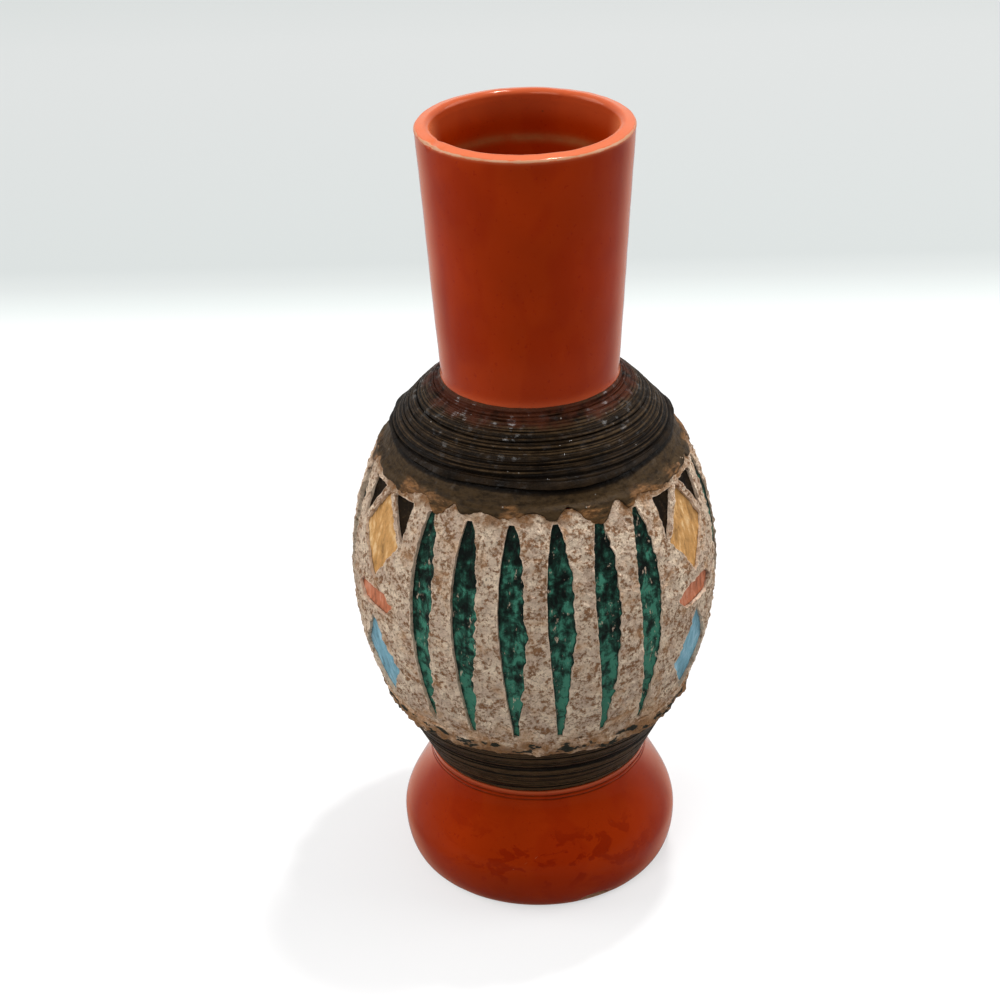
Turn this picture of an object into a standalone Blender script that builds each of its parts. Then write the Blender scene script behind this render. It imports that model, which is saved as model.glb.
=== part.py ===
"""Stoneware vase: three thrown sections luted together, combed slip coats and an inlaid frieze.

Metres, +Z up. The origin is the centre of the resting face and the front looks along -Y.
"""
import math

import bmesh
import bpy
from mathutils import Vector

# Foot
STANDING_RADIUS = 0.0380
STANDING_RING_WIDTH = 0.0063
FOOT_RADIUS = 0.0428
FOOT_BULGE_HEIGHT = 0.0127
FOOT_HEIGHT = 0.0395
FOOT_TOP_FLARE = 0.15
FOOT_WALL = 0.0055
FOOT_FLOOR = 0.0065
WELL_ROUND = 0.0080
BASE_RECESS_DEPTH = 0.0020
BASE_RECESS_SLOPE = 0.0012

# Belly, an ellipse over a tangent cone, with heights above the foot
BELLY_RADIUS = 0.0546
BELLY_MIDDLE_RISE = 0.0623
BELLY_HALF_HEIGHT = 0.0708
CONE_RISE = 0.0242
BELLY_WALL = 0.0045

# Neck
NECK_BASE_RADIUS = 0.0258
NECK_TOP_RADIUS = 0.03065
NECK_LENGTH = 0.0758
NECK_WALL = 0.0047
LIP_OUTER_ROUND = 0.0010
LIP_INNER_ROUND = 0.0018
LIP_FALL = 0.0004

# Joints between the sections
GAP = 0.0003
LUTE_THICKNESS = 0.0010
LAP_HEIGHT = 0.0026
LAP_WALL = 0.0020
NECK_SEAT_MARGIN = 0.0017

# Coats on the belly, up from the foot and down from the neck
COAT_THICKNESS = 0.0016
WAIST_COAT_HEIGHT = 0.0214
HEM_HEIGHT = 0.0046
LEDGE_BAND_HEIGHT = 0.0061
SHOULDER_HEIGHT = 0.0159
WAIST_SINK = 0.0003
HEM_RISE = 0.0006
LEDGE_SINK = 0.0005
SHOULDER_RISE = 0.0004
COMB_DEPTH = 0.0005
WAIST_COMB_COUNT = 5
SHOULDER_COMB_COUNT = 7

# Inlaid frieze
PANEL_COUNT = 3
LEAVES_PER_PANEL = 6
LEAF_PITCH = math.radians(15.0)
LEAF_MARGIN = 0.0034
LEAF_HALF_WIDTH = 0.0037
LEAF_TIP_HALF_WIDTH = 0.0008
LEAF_WIDEST_SHARE = 0.64
LEAF_FULLNESS = 0.8
LEAF_SIDE_POINTS = 6
INLAY_RECESS = 0.0007
INLAY_CLEARANCE = 0.0003
POST_MARGIN = 0.0034
POST_HALF_WIDTH = 0.0098
POST_GAP = 0.0024
YELLOW_LOZENGE_HEIGHT = 0.0270
BAR_HEIGHT = 0.0068
BAR_END_LENGTH = 0.0032
CORNER_WIDTH = 0.0086
CORNER_HEIGHT = 0.0128
CORNER_REACH = 0.0112

# Facets and cutting
TURN_STEPS = 36
RING_ANGLE = math.radians(9.0)
RING_MARGIN = 0.0010
CUTTER_MARGIN = 0.0030
SEARCH_HALVINGS = 40
SEARCH_END_SHARE = 0.999
BULGE_STEPS = 5
FOOT_STEPS = 6
WELL_STEPS = 3
LIP_STEPS = 3
MERGE_DISTANCE = 0.00001

# Heights of the edges, with the frieze between those tied to the foot and those tied to the neck
WAIST_COAT_TOP = FOOT_HEIGHT + WAIST_COAT_HEIGHT
HEM_TOP = WAIST_COAT_TOP + HEM_HEIGHT
BELLY_MIDDLE = FOOT_HEIGHT + BELLY_MIDDLE_RISE
NECK_SHARE = NECK_BASE_RADIUS / BELLY_RADIUS
NECK_BASE = BELLY_MIDDLE + BELLY_HALF_HEIGHT * math.sqrt(1.0 - NECK_SHARE * NECK_SHARE)
LEDGE_TOP = NECK_BASE - SHOULDER_HEIGHT
FRIEZE_TOP = LEDGE_TOP - LEDGE_BAND_HEIGHT
CONE_TOP = FOOT_HEIGHT + CONE_RISE
FOOT_SEAT = FOOT_HEIGHT - GAP
CLAY_DEPTH = COAT_THICKNESS + GAP

COLOURS = {
    "orange_glaze": (0.42, 0.040, 0.004),
    "lute_slip": (0.20, 0.09, 0.05),
    "belly_clay": (0.38, 0.13, 0.06),
    "dark_slip": (0.020, 0.014, 0.009),
    "cream_slip": (0.50, 0.39, 0.31),
    "green_glaze": (0.012, 0.080, 0.056),
    "yellow_slip": (0.60, 0.35, 0.14),
    "terracotta_slip": (0.50, 0.17, 0.10),
    "blue_slip": (0.18, 0.36, 0.45),
}
GLOSSY = 0.18
MATT = 0.65
ROUGHNESS = {"orange_glaze": GLOSSY, "green_glaze": 0.45}


def new_collection(name):
    collection = bpy.data.collections.new(name)
    bpy.context.scene.collection.children.link(collection)
    return collection


def clear_scene():
    for item in list(bpy.data.objects):
        bpy.data.objects.remove(item, do_unlink=True)


def make_material(node, finish):
    """A material of the object's own, in the colour of its finish."""
    material = bpy.data.materials.new(node)
    material.use_nodes = True
    shader = material.node_tree.nodes["Principled BSDF"]
    shader.inputs["Base Color"].default_value = (*COLOURS[finish], 1.0)
    shader.inputs["Roughness"].default_value = ROUGHNESS.get(finish, MATT)
    shader.inputs["Metallic"].default_value = 0.0
    return material


# Outline functions

def cone_slope():
    """Slope of the straight lower belly, tangent to the ellipse above it."""
    drop = (CONE_TOP - BELLY_MIDDLE) / BELLY_HALF_HEIGHT
    return -BELLY_RADIUS / BELLY_HALF_HEIGHT * drop / math.sqrt(1.0 - drop * drop)


def belly_radius(height):
    """Radius of the finished belly at a height: an ellipse over a straight cone."""
    if height < CONE_TOP:
        return belly_radius(CONE_TOP) - cone_slope() * (CONE_TOP - height)
    rise = (height - BELLY_MIDDLE) / BELLY_HALF_HEIGHT
    return BELLY_RADIUS * math.sqrt(1.0 - rise * rise)


def belly_slope(height):
    if height < CONE_TOP:
        return cone_slope()
    rise = (height - BELLY_MIDDLE) / BELLY_HALF_HEIGHT
    return -BELLY_RADIUS / BELLY_HALF_HEIGHT * rise / math.sqrt(1.0 - rise * rise)


def belly_point(height, depth):
    """Point (radius, height) that lies depth below the finished belly, square to it."""
    slope = belly_slope(height)
    length = math.sqrt(1.0 + slope * slope)
    return (belly_radius(height) - depth / length, height + depth * slope / length)


def shoulder_station(depth, radius):
    """Height on the shoulder whose point at this depth has the given radius, by halving."""
    low = BELLY_MIDDLE
    high = BELLY_MIDDLE + BELLY_HALF_HEIGHT * SEARCH_END_SHARE
    for _ in range(SEARCH_HALVINGS):
        middle = (low + high) / 2.0
        if belly_point(middle, depth)[0] > radius:
            low = middle
        else:
            high = middle
    return low


def cone_station(depth, level):
    """Height on the straight lower belly whose point at this depth lies at a level."""
    slope = cone_slope()
    return level - depth * slope / math.sqrt(1.0 + slope * slope)


def foot_upper_radius(height):
    """Radius of the foot above its bulge: a cubic that ends flaring to the belly."""
    span = FOOT_HEIGHT - FOOT_BULGE_HEIGHT
    t = (height - FOOT_BULGE_HEIGHT) / span
    start = 2.0 * t ** 3 - 3.0 * t ** 2 + 1.0
    end = 3.0 * t ** 2 - 2.0 * t ** 3
    end_slope = (t ** 3 - t ** 2) * span
    top_radius = belly_radius(FOOT_HEIGHT) - WAIST_SINK
    return start * FOOT_RADIUS + end * top_radius + end_slope * FOOT_TOP_FLARE


def foot_bore_radius():
    """Radius of the hollow where the foot meets the belly."""
    return foot_upper_radius(FOOT_SEAT) - FOOT_WALL


def foot_lap_radius():
    """Outer radius of the lap that stands up round the mouth of the foot."""
    return foot_bore_radius() + LAP_WALL


def neck_seat():
    """Height of the flat seat round the mouth of the belly, just wider than the neck."""
    station = shoulder_station(CLAY_DEPTH, NECK_BASE_RADIUS + NECK_SEAT_MARGIN)
    return belly_point(station, CLAY_DEPTH)[1]


def neck_radius(height):
    """Radius of the neck: a straight cone that opens upward."""
    share = (height - NECK_BASE) / NECK_LENGTH
    return NECK_BASE_RADIUS + (NECK_TOP_RADIUS - NECK_BASE_RADIUS) * share


def neck_bore_radius(height):
    return neck_radius(height) - NECK_WALL


def neck_lap_radius():
    """Outer radius of the lap that stands up round the mouth of the belly."""
    return neck_bore_radius(NECK_BASE) + LAP_WALL


def arc(centre, radius, start, end, steps):
    """Points on an arc from start to end degrees, centre and points as (radius, height)."""
    points = []
    for index in range(steps + 1):
        angle = math.radians(start + (end - start) * index / steps)
        points.append((centre[0] + radius * math.cos(angle), centre[1] + radius * math.sin(angle)))
    return points


def ring_heights(bottom, top):
    """Heights from top down to bottom at which the layers of the belly have their rings."""
    shared = [CONE_TOP]
    angle = math.asin((CONE_TOP - BELLY_MIDDLE) / BELLY_HALF_HEIGHT)
    first = math.ceil(angle / RING_ANGLE)
    last = math.floor(math.pi / 2.0 / RING_ANGLE)
    for index in range(first, last):
        shared.append(BELLY_MIDDLE + BELLY_HALF_HEIGHT * math.sin(index * RING_ANGLE))
    inside = [height for height in shared if bottom + RING_MARGIN < height < top - RING_MARGIN]
    return [top] + inside[::-1] + [bottom]


# Object makers

def turned(name, profile, finish, collection, closed=True):
    """An object turned from a profile of (radius, height) points with a Screw modifier."""
    mesh = bpy.data.meshes.new(name)
    count = len(profile)
    edges = [(index, index + 1) for index in range(count - 1)]
    if closed:
        edges.append((count - 1, 0))
    mesh.from_pydata([(radius, 0.0, height) for radius, height in profile], edges, [])
    mesh.update()
    item = bpy.data.objects.new(name, mesh)
    collection.objects.link(item)
    screw = item.modifiers.new("turn", "SCREW")
    screw.axis = "Z"
    screw.angle = math.tau
    screw.steps = TURN_STEPS
    screw.render_steps = TURN_STEPS
    screw.use_merge_vertices = True
    screw.merge_threshold = MERGE_DISTANCE
    screw.use_smooth_shade = True
    if finish:
        mesh.materials.append(make_material(name, finish))
    return item


def coat(name, span, rise, finish, collection, comb_count=0, inner_span=None):
    """A layer on the belly; a combed one has comb_count grooves round its outer face."""
    bottom, top = span
    inner_bottom, inner_top = inner_span or span
    if comb_count:
        outer = []
        half_pitches = 2 * comb_count
        for index in range(half_pitches + 1):
            height = top + (bottom - top) * index / half_pitches
            depth = COMB_DEPTH if index % 2 else 0.0
            outer.append(belly_point(height, depth - rise))
    else:
        outer = [belly_point(height, -rise) for height in ring_heights(bottom, top)]
    inner = [belly_point(height, COAT_THICKNESS) for height in ring_heights(inner_bottom, inner_top)]
    return turned(name, outer + inner[::-1], finish, collection)


def prism(name, outline, azimuth, collection):
    """A block of a flat outline (across, height), pushed out radially at an azimuth from the front."""
    curve = bpy.data.curves.new(name, "CURVE")
    curve.dimensions = "2D"
    curve.fill_mode = "BOTH"
    frieze_edge = min(belly_radius(HEM_TOP), belly_radius(FRIEZE_TOP))
    reach_in = frieze_edge - COAT_THICKNESS - CUTTER_MARGIN
    reach_out = BELLY_RADIUS + CUTTER_MARGIN
    curve.extrude = (reach_out - reach_in) / 2.0
    spline = curve.splines.new("POLY")
    spline.points.add(len(outline) - 1)
    for point, (across, height) in zip(spline.points, outline):
        point.co = (across, height, 0.0, 1.0)
    spline.use_cyclic_u = True
    guide = bpy.data.objects.new(name + "_guide", curve)
    middle = (reach_out + reach_in) / 2.0
    guide.location = (middle * math.sin(azimuth), -middle * math.cos(azimuth), 0.0)
    guide.rotation_euler = (math.pi / 2.0, 0.0, azimuth)
    collection.objects.link(guide)
    bpy.context.view_layer.update()
    graph = bpy.context.evaluated_depsgraph_get()
    mesh = bpy.data.meshes.new_from_object(guide.evaluated_get(graph))
    mesh.name = name
    work = bmesh.new()
    work.from_mesh(mesh)
    bmesh.ops.remove_doubles(work, verts=work.verts, dist=MERGE_DISTANCE)
    bmesh.ops.recalc_face_normals(work, faces=work.faces)
    work.to_mesh(mesh)
    work.free()
    item = bpy.data.objects.new(name, mesh)
    item.matrix_world = guide.matrix_world.copy()
    collection.objects.link(item)
    bpy.data.objects.remove(guide, do_unlink=True)
    bpy.data.curves.remove(curve)
    return item


def cut(item, cutter, operation):
    modifier = item.modifiers.new(operation.lower(), "BOOLEAN")
    modifier.operation = operation
    modifier.solver = "EXACT"
    modifier.object = cutter


def hide_cutter(item):
    item.hide_render = True
    item.display_type = "WIRE"


# Motifs, as outlines of (across, height) points that run anticlockwise

def shrunk(outline, clearance):
    """A convex outline moved inward by clearance along each of its sides."""
    count = len(outline)
    moved = []
    for index in range(count):
        corner = Vector(outline[index])
        before = (corner - Vector(outline[index - 1])).normalized()
        after = (Vector(outline[(index + 1) % count]) - corner).normalized()
        normal_before = Vector((-before.y, before.x))
        normal_after = Vector((-after.y, after.x))
        bisector = (normal_before + normal_after).normalized()
        moved.append(tuple(corner + bisector * (clearance / bisector.dot(normal_after))))
    return moved


def leaf_outline():
    """A lancet leaf with blunt tips, widest above its middle."""
    lean = math.log(0.5) / math.log(LEAF_WIDEST_SHARE)
    bottom = HEM_TOP + LEAF_MARGIN
    top = FRIEZE_TOP - LEAF_MARGIN
    right = []
    for index in range(LEAF_SIDE_POINTS):
        share = index / (LEAF_SIDE_POINTS - 1)
        swell = abs(math.sin(math.pi * share ** lean)) ** LEAF_FULLNESS
        half_width = LEAF_TIP_HALF_WIDTH + (LEAF_HALF_WIDTH - LEAF_TIP_HALF_WIDTH) * swell
        right.append((half_width, bottom + (top - bottom) * share))
    left = [(-across, height) for across, height in reversed(right)]
    return right + left


def lozenge_outline(bottom, top):
    middle = (bottom + top) / 2.0
    return [(0.0, bottom), (POST_HALF_WIDTH, middle), (0.0, top), (-POST_HALF_WIDTH, middle)]


def bar_outline(bottom, top):
    """A low six-sided bar with pointed ends."""
    middle = (bottom + top) / 2.0
    shoulder = POST_HALF_WIDTH - BAR_END_LENGTH
    return [
        (-shoulder, bottom),
        (shoulder, bottom),
        (POST_HALF_WIDTH, middle),
        (shoulder, top),
        (-shoulder, top),
        (-POST_HALF_WIDTH, middle),
    ]


def corner_outline(top, side):
    """The black corner beside a yellow lozenge; side is 1 for right and -1 for left."""
    right = [
        (CORNER_REACH, top - CORNER_HEIGHT),
        (CORNER_REACH, top),
        (CORNER_REACH - CORNER_WIDTH, top),
    ]
    if side > 0:
        return right
    return [(-across, height) for across, height in reversed(right)]


def post_motifs(tag, azimuth):
    """A post of inlays between two panels of leaves, stacked from the top of the frieze down."""
    top = FRIEZE_TOP - POST_MARGIN
    yellow = lozenge_outline(top - YELLOW_LOZENGE_HEIGHT, top)
    bar_top = top - YELLOW_LOZENGE_HEIGHT - POST_GAP
    bar = bar_outline(bar_top - BAR_HEIGHT, bar_top)
    blue = lozenge_outline(HEM_TOP + POST_MARGIN, bar_top - BAR_HEIGHT - POST_GAP)
    return [
        (f"yellow_lozenge_{tag}", yellow, azimuth, "yellow_slip"),
        (f"terracotta_bar_{tag}", bar, azimuth, "terracotta_slip"),
        (f"blue_lozenge_{tag}", blue, azimuth, "blue_slip"),
        (f"black_corner_{tag}_right", corner_outline(top, 1), azimuth, "dark_slip"),
        (f"black_corner_{tag}_left", corner_outline(top, -1), azimuth, "dark_slip"),
    ]


def motifs():
    """Every inlay as (name, outline, azimuth from the front, finish)."""
    found = []
    panel_step = math.tau / PANEL_COUNT
    for panel in range(PANEL_COUNT):
        middle = panel * panel_step
        for index in range(LEAVES_PER_PANEL):
            offset = (index - (LEAVES_PER_PANEL - 1) / 2.0) * LEAF_PITCH
            number = panel * LEAVES_PER_PANEL + index + 1
            found.append((f"green_leaf_{number:02d}", leaf_outline(), middle + offset, "green_glaze"))
        found.extend(post_motifs(panel + 1, middle + panel_step / 2.0))
    return found


# Pieces

def build_foot(parts):
    """The thrown foot: a cup with a floor, a recessed underside and a lap at its rim."""
    bulge = []
    for across, up in arc((0.0, 0.0), 1.0, 0.0, -90.0, BULGE_STEPS):
        bulge.append((
            STANDING_RADIUS + (FOOT_RADIUS - STANDING_RADIUS) * across,
            FOOT_BULGE_HEIGHT + FOOT_BULGE_HEIGHT * up,
        ))
    upper = []
    for index in range(FOOT_STEPS):
        height = FOOT_SEAT + (FOOT_BULGE_HEIGHT - FOOT_SEAT) * index / FOOT_STEPS
        upper.append((foot_upper_radius(height), height))
    floor_top = BASE_RECESS_DEPTH + FOOT_FLOOR
    round_top = floor_top + WELL_ROUND
    well_radius = foot_upper_radius(round_top) - FOOT_WALL
    well = arc((well_radius - WELL_ROUND, round_top), WELL_ROUND, -90.0, 0.0, WELL_STEPS)
    for index in range(1, WELL_STEPS):
        height = round_top + (FOOT_SEAT - round_top) * index / WELL_STEPS
        well.append((foot_upper_radius(height) - FOOT_WALL, height))
    lap_top = FOOT_SEAT + LAP_HEIGHT
    profile = [(0.0, floor_top)]
    profile += well
    profile += [(foot_bore_radius(), FOOT_SEAT), (foot_bore_radius(), lap_top)]
    profile += [(foot_lap_radius(), lap_top), (foot_lap_radius(), FOOT_SEAT)]
    profile += upper + bulge
    profile += [
        (STANDING_RADIUS - STANDING_RING_WIDTH, 0.0),
        (STANDING_RADIUS - STANDING_RING_WIDTH - BASE_RECESS_SLOPE, BASE_RECESS_DEPTH),
        (0.0, BASE_RECESS_DEPTH),
    ]
    turned("foot", profile, "orange_glaze", parts, closed=False)


def build_belly(parts):
    """The thrown belly: an open-ended oval wall that laps over the foot and into the neck."""
    wall_depth = CLAY_DEPTH + BELLY_WALL
    bottom = FOOT_SEAT + LUTE_THICKNESS + 2.0 * GAP
    rebate_top = FOOT_SEAT + LAP_HEIGHT + GAP
    rebate = foot_lap_radius() + GAP
    bore = neck_bore_radius(NECK_BASE)
    outer_bottom = cone_station(CLAY_DEPTH, bottom)
    outer_top = shoulder_station(CLAY_DEPTH, NECK_BASE_RADIUS + NECK_SEAT_MARGIN)
    outer = [belly_point(height, CLAY_DEPTH) for height in ring_heights(outer_bottom, outer_top)]
    inner_bottom = cone_station(wall_depth, rebate_top)
    inner_top = shoulder_station(wall_depth, bore)
    inner = [belly_point(height, wall_depth) for height in ring_heights(inner_bottom, inner_top)]
    seat = neck_seat()
    lap = neck_lap_radius()
    profile = [(bore, seat + LAP_HEIGHT), (lap, seat + LAP_HEIGHT), (lap, seat)]
    profile += outer
    profile += [(rebate, bottom), (rebate, rebate_top)]
    profile += inner[::-1]
    turned("belly", profile, "belly_clay", parts)


def build_neck(parts):
    """The thrown neck: a tapered tube with a rounded lip and a rebate under its wall."""
    base = neck_seat() + LUTE_THICKNESS + 2.0 * GAP
    rebate = neck_lap_radius() + GAP
    rebate_top = neck_seat() + LAP_HEIGHT + GAP
    top = NECK_BASE + NECK_LENGTH
    outer_top = top - LIP_FALL
    lip_centre = (neck_radius(outer_top) - LIP_OUTER_ROUND, outer_top - LIP_OUTER_ROUND)
    outer_lip = arc(lip_centre, LIP_OUTER_ROUND, 90.0, 0.0, LIP_STEPS)
    lip_centre = (neck_bore_radius(top) + LIP_INNER_ROUND, top - LIP_INNER_ROUND)
    inner_lip = arc(lip_centre, LIP_INNER_ROUND, 180.0, 90.0, LIP_STEPS)
    profile = outer_lip
    profile += [(neck_radius(base), base), (rebate, base), (rebate, rebate_top)]
    profile += [(neck_bore_radius(rebate_top), rebate_top)]
    profile += inner_lip
    turned("neck", profile, "orange_glaze", parts)


def luting_ring(name, inner, outer, seat, parts):
    """A flat ring of slip that floats in a joint with a gap on every side."""
    low = seat + GAP
    high = low + LUTE_THICKNESS
    ring = [(inner, high), (outer, high), (outer, low), (inner, low)]
    turned(name, ring, "lute_slip", parts)


def build_luting(parts):
    """The slip that bonds the sections, squeezed into each joint."""
    coat_edge = belly_point(cone_station(COAT_THICKNESS, FOOT_HEIGHT), COAT_THICKNESS)[0]
    luting_ring("foot_luting_ring", foot_lap_radius() + GAP, coat_edge - GAP, FOOT_SEAT, parts)
    luting_ring("neck_luting_ring", neck_lap_radius() + GAP, NECK_BASE_RADIUS - GAP, neck_seat(), parts)


def build_coats(parts):
    """The slip coats on the belly, from the waist up."""
    waist = (cone_station(WAIST_SINK, FOOT_HEIGHT), WAIST_COAT_TOP)
    waist_inner = (cone_station(COAT_THICKNESS, FOOT_HEIGHT), WAIST_COAT_TOP)
    coat("waist_combed_slip", waist, -WAIST_SINK, "dark_slip", parts, WAIST_COMB_COUNT, waist_inner)
    coat("frieze_hem", (WAIST_COAT_TOP + GAP, HEM_TOP), HEM_RISE, "cream_slip", parts)
    ground = coat("frieze_ground", (HEM_TOP + GAP, FRIEZE_TOP), 0.0, "cream_slip", parts)
    coat("ledge_band", (FRIEZE_TOP + GAP, LEDGE_TOP), -LEDGE_SINK, "dark_slip", parts)
    collar = NECK_BASE_RADIUS + GAP
    bottom = LEDGE_TOP + GAP
    shoulder = (bottom, shoulder_station(-SHOULDER_RISE, collar))
    shoulder_inner = (bottom, shoulder_station(COAT_THICKNESS, collar))
    coat("shoulder_combed_slip", shoulder, SHOULDER_RISE, "dark_slip", parts,
         SHOULDER_COMB_COUNT, shoulder_inner)
    return ground


def build_frieze(ground, parts, cutters):
    """Cuts the motifs through the cream ground and sets a recessed inlay in each cut."""
    bed = coat("inlay_bed", (HEM_TOP + GAP, FRIEZE_TOP), -INLAY_RECESS, None, cutters)
    hide_cutter(bed)
    joined = bmesh.new()
    for name, outline, azimuth, finish in motifs():
        pocket = prism(name + "_pocket", outline, azimuth, cutters)
        mesh = pocket.data.copy()
        mesh.transform(pocket.matrix_world)
        joined.from_mesh(mesh)
        bpy.data.meshes.remove(mesh)
        bpy.data.objects.remove(pocket, do_unlink=True)
        inlay = prism(name, shrunk(outline, INLAY_CLEARANCE), azimuth, parts)
        inlay.data.materials.append(make_material(name, finish))
        cut(inlay, bed, "INTERSECT")
    mesh = bpy.data.meshes.new("frieze_pockets")
    joined.to_mesh(mesh)
    joined.free()
    pockets = bpy.data.objects.new("frieze_pockets", mesh)
    cutters.objects.link(pockets)
    hide_cutter(pockets)
    cut(ground, pockets, "DIFFERENCE")


def main():
    clear_scene()
    parts = new_collection("pottery_vase")
    cutters = new_collection("cutters")
    build_foot(parts)
    build_belly(parts)
    build_neck(parts)
    build_luting(parts)
    ground = build_coats(parts)
    build_frieze(ground, parts, cutters)


main()
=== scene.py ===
"""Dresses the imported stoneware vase: turned and glazed sections, combed slip, and a carved, inlaid frieze.

Metres, +Z up, with the front towards -Y. Azimuths run from the front towards +X.
"""

import math

import bpy
import numpy as np
from mathutils import Matrix, Vector, noise
from mathutils.geometry import delaunay_2d_cdt
from mathutils.kdtree import KDTree


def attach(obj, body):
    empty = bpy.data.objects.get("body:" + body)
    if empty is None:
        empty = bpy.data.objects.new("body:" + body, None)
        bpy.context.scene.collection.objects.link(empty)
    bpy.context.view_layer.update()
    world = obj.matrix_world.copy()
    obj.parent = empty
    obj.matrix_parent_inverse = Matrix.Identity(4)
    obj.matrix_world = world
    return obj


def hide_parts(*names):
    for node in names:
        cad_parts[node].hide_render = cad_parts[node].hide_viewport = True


bl_info = {
    "name": "Inlaid stoneware vase",
    "version": (1, 0, 0),
    "blender": (4, 5, 0),
    "location": "View3D > Sidebar > Vase",
    "description": "Builds the glazed, combed and inlaid finish of a footed stoneware vase",
    "category": "Add Mesh",
}

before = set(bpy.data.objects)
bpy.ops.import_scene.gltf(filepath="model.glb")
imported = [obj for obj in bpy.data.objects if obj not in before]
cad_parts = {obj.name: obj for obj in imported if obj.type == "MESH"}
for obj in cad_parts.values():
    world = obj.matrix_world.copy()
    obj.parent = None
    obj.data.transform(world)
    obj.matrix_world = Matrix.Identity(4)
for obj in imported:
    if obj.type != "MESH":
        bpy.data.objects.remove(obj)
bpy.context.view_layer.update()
MM = 0.001

# Foot
STANDING_RADIUS = 0.0380
STANDING_RING_WIDTH = 0.0063
FOOT_RADIUS = 0.0428
FOOT_BULGE_HEIGHT = 0.0127
FOOT_HEIGHT = 0.0395
FOOT_TOP_FLARE = 0.15
FOOT_WALL = 0.0055
FOOT_FLOOR = 0.0065
WELL_ROUND = 0.0080
BASE_RECESS_DEPTH = 0.0020
BASE_RECESS_SLOPE = 0.0012

# Belly
BELLY_RADIUS = 0.0546
BELLY_MIDDLE = 0.1018
BELLY_HALF_HEIGHT = 0.0708
CONE_TOP = 0.0637
BELLY_WALL = 0.0045

# Neck
NECK_BASE_RADIUS = 0.0258
NECK_TOP_RADIUS = 0.03065
NECK_BASE = 0.1642
NECK_LENGTH = 0.0758
NECK_WALL = 0.0047
LIP_OUTER_ROUND = 0.0010
LIP_INNER_ROUND = 0.0018

# Joints and coats
GAP = 0.0003
FOOT_SEAT = FOOT_HEIGHT - GAP
LAP_HEIGHT = 0.0026
LAP_WALL = 0.0020
COAT_THICKNESS = 0.0016
CLAY_DEPTH = COAT_THICKNESS + GAP
WAIST_COAT_TOP = 0.0609
HEM_TOP = 0.0655
FRIEZE_TOP = 0.1422
LEDGE_TOP = 0.1483
WAIST_SINK = 0.0003
LEDGE_SINK = 0.0005

# Frieze
PANEL_COUNT = 3
LEAVES_PER_PANEL = 6
LEAF_PITCH = math.radians(15.0)
LEAF_MARGIN = 0.0034
LEAF_HALF_WIDTH = 0.0037
LEAF_TIP_HALF_WIDTH = 0.0008
LEAF_WIDEST_SHARE = 0.64
LEAF_FULLNESS = 0.8
POST_MARGIN = 0.0034
POST_HALF_WIDTH = 0.0098
POST_GAP = 0.0024
YELLOW_LOZENGE_HEIGHT = 0.0270
BAR_HEIGHT = 0.0068
BAR_END_LENGTH = 0.0032
CORNER_WIDTH = 0.0086
CORNER_HEIGHT = 0.0128
CORNER_REACH = 0.0112
SEAM_AZIMUTH = math.radians(45.0)


# Outlines of the turned form

def belly_radius(height):
    """Radius of the finished belly: an ellipse over a tangent cone."""
    rise = (np.maximum(height, CONE_TOP) - BELLY_MIDDLE) / BELLY_HALF_HEIGHT
    curved = BELLY_RADIUS * np.sqrt(1.0 - np.minimum(rise * rise, 0.9999))
    return curved + belly_slope(height) * np.minimum(height - CONE_TOP, 0.0)


def belly_slope(height):
    rise = (np.maximum(height, CONE_TOP) - BELLY_MIDDLE) / BELLY_HALF_HEIGHT
    return -BELLY_RADIUS / BELLY_HALF_HEIGHT * rise / np.sqrt(1.0 - np.minimum(rise * rise, 0.9999))


def belly_point(height, depth):
    """(radius, height) of a point that lies depth below the finished belly, square to it."""
    slope = belly_slope(height)
    length = np.sqrt(1.0 + slope * slope)
    return belly_radius(height) - depth / length, height + depth * slope / length


def foot_radius(height):
    """Radius of the foot above its bulge, a cubic that flares into the belly."""
    span = FOOT_HEIGHT - FOOT_BULGE_HEIGHT
    t = (height - FOOT_BULGE_HEIGHT) / span
    start = 2.0 * t ** 3 - 3.0 * t ** 2 + 1.0
    end_slope = (t ** 3 - t ** 2) * span
    top = belly_radius(FOOT_HEIGHT) - WAIST_SINK
    return start * FOOT_RADIUS + (1.0 - start) * top + end_slope * FOOT_TOP_FLARE


def neck_radius(height):
    share = (height - NECK_BASE) / NECK_LENGTH
    return NECK_BASE_RADIUS + (NECK_TOP_RADIUS - NECK_BASE_RADIUS) * share


def station_at(depth, radius):
    """Height on the shoulder whose point at this depth has the given radius, by halving."""
    low, high = BELLY_MIDDLE, BELLY_MIDDLE + BELLY_HALF_HEIGHT * 0.999
    for _ in range(40):
        middle = (low + high) / 2.0
        if belly_point(middle, depth)[0] > radius:
            low = middle
        else:
            high = middle
    return low


def cone_station(depth, height):
    """Height on the straight lower belly whose point at this depth lies at the height given."""
    slope = belly_slope(height)
    return height - depth * slope / math.sqrt(1.0 + slope * slope)


# Small tools

def smooth(low, high, value):
    """0 below low, 1 above high, and an even curve between."""
    t = np.clip((value - low) / (high - low), 0.0, 1.0)
    return t * t * (3.0 - 2.0 * t)


def bell(distance, width, power=2):
    """1 at no distance and nearly 0 past the width; a higher power has steeper sides."""
    return np.exp(-(distance / width) ** power)


def azimuth_of(points):
    return np.arctan2(points[..., 0], -points[..., 1])


def radius_of(points):
    return np.hypot(points[..., 0], points[..., 1])


def wrapped(angle):
    """The same angle between minus half a turn and half a turn."""
    return (angle + math.pi) % math.tau - math.pi


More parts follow.
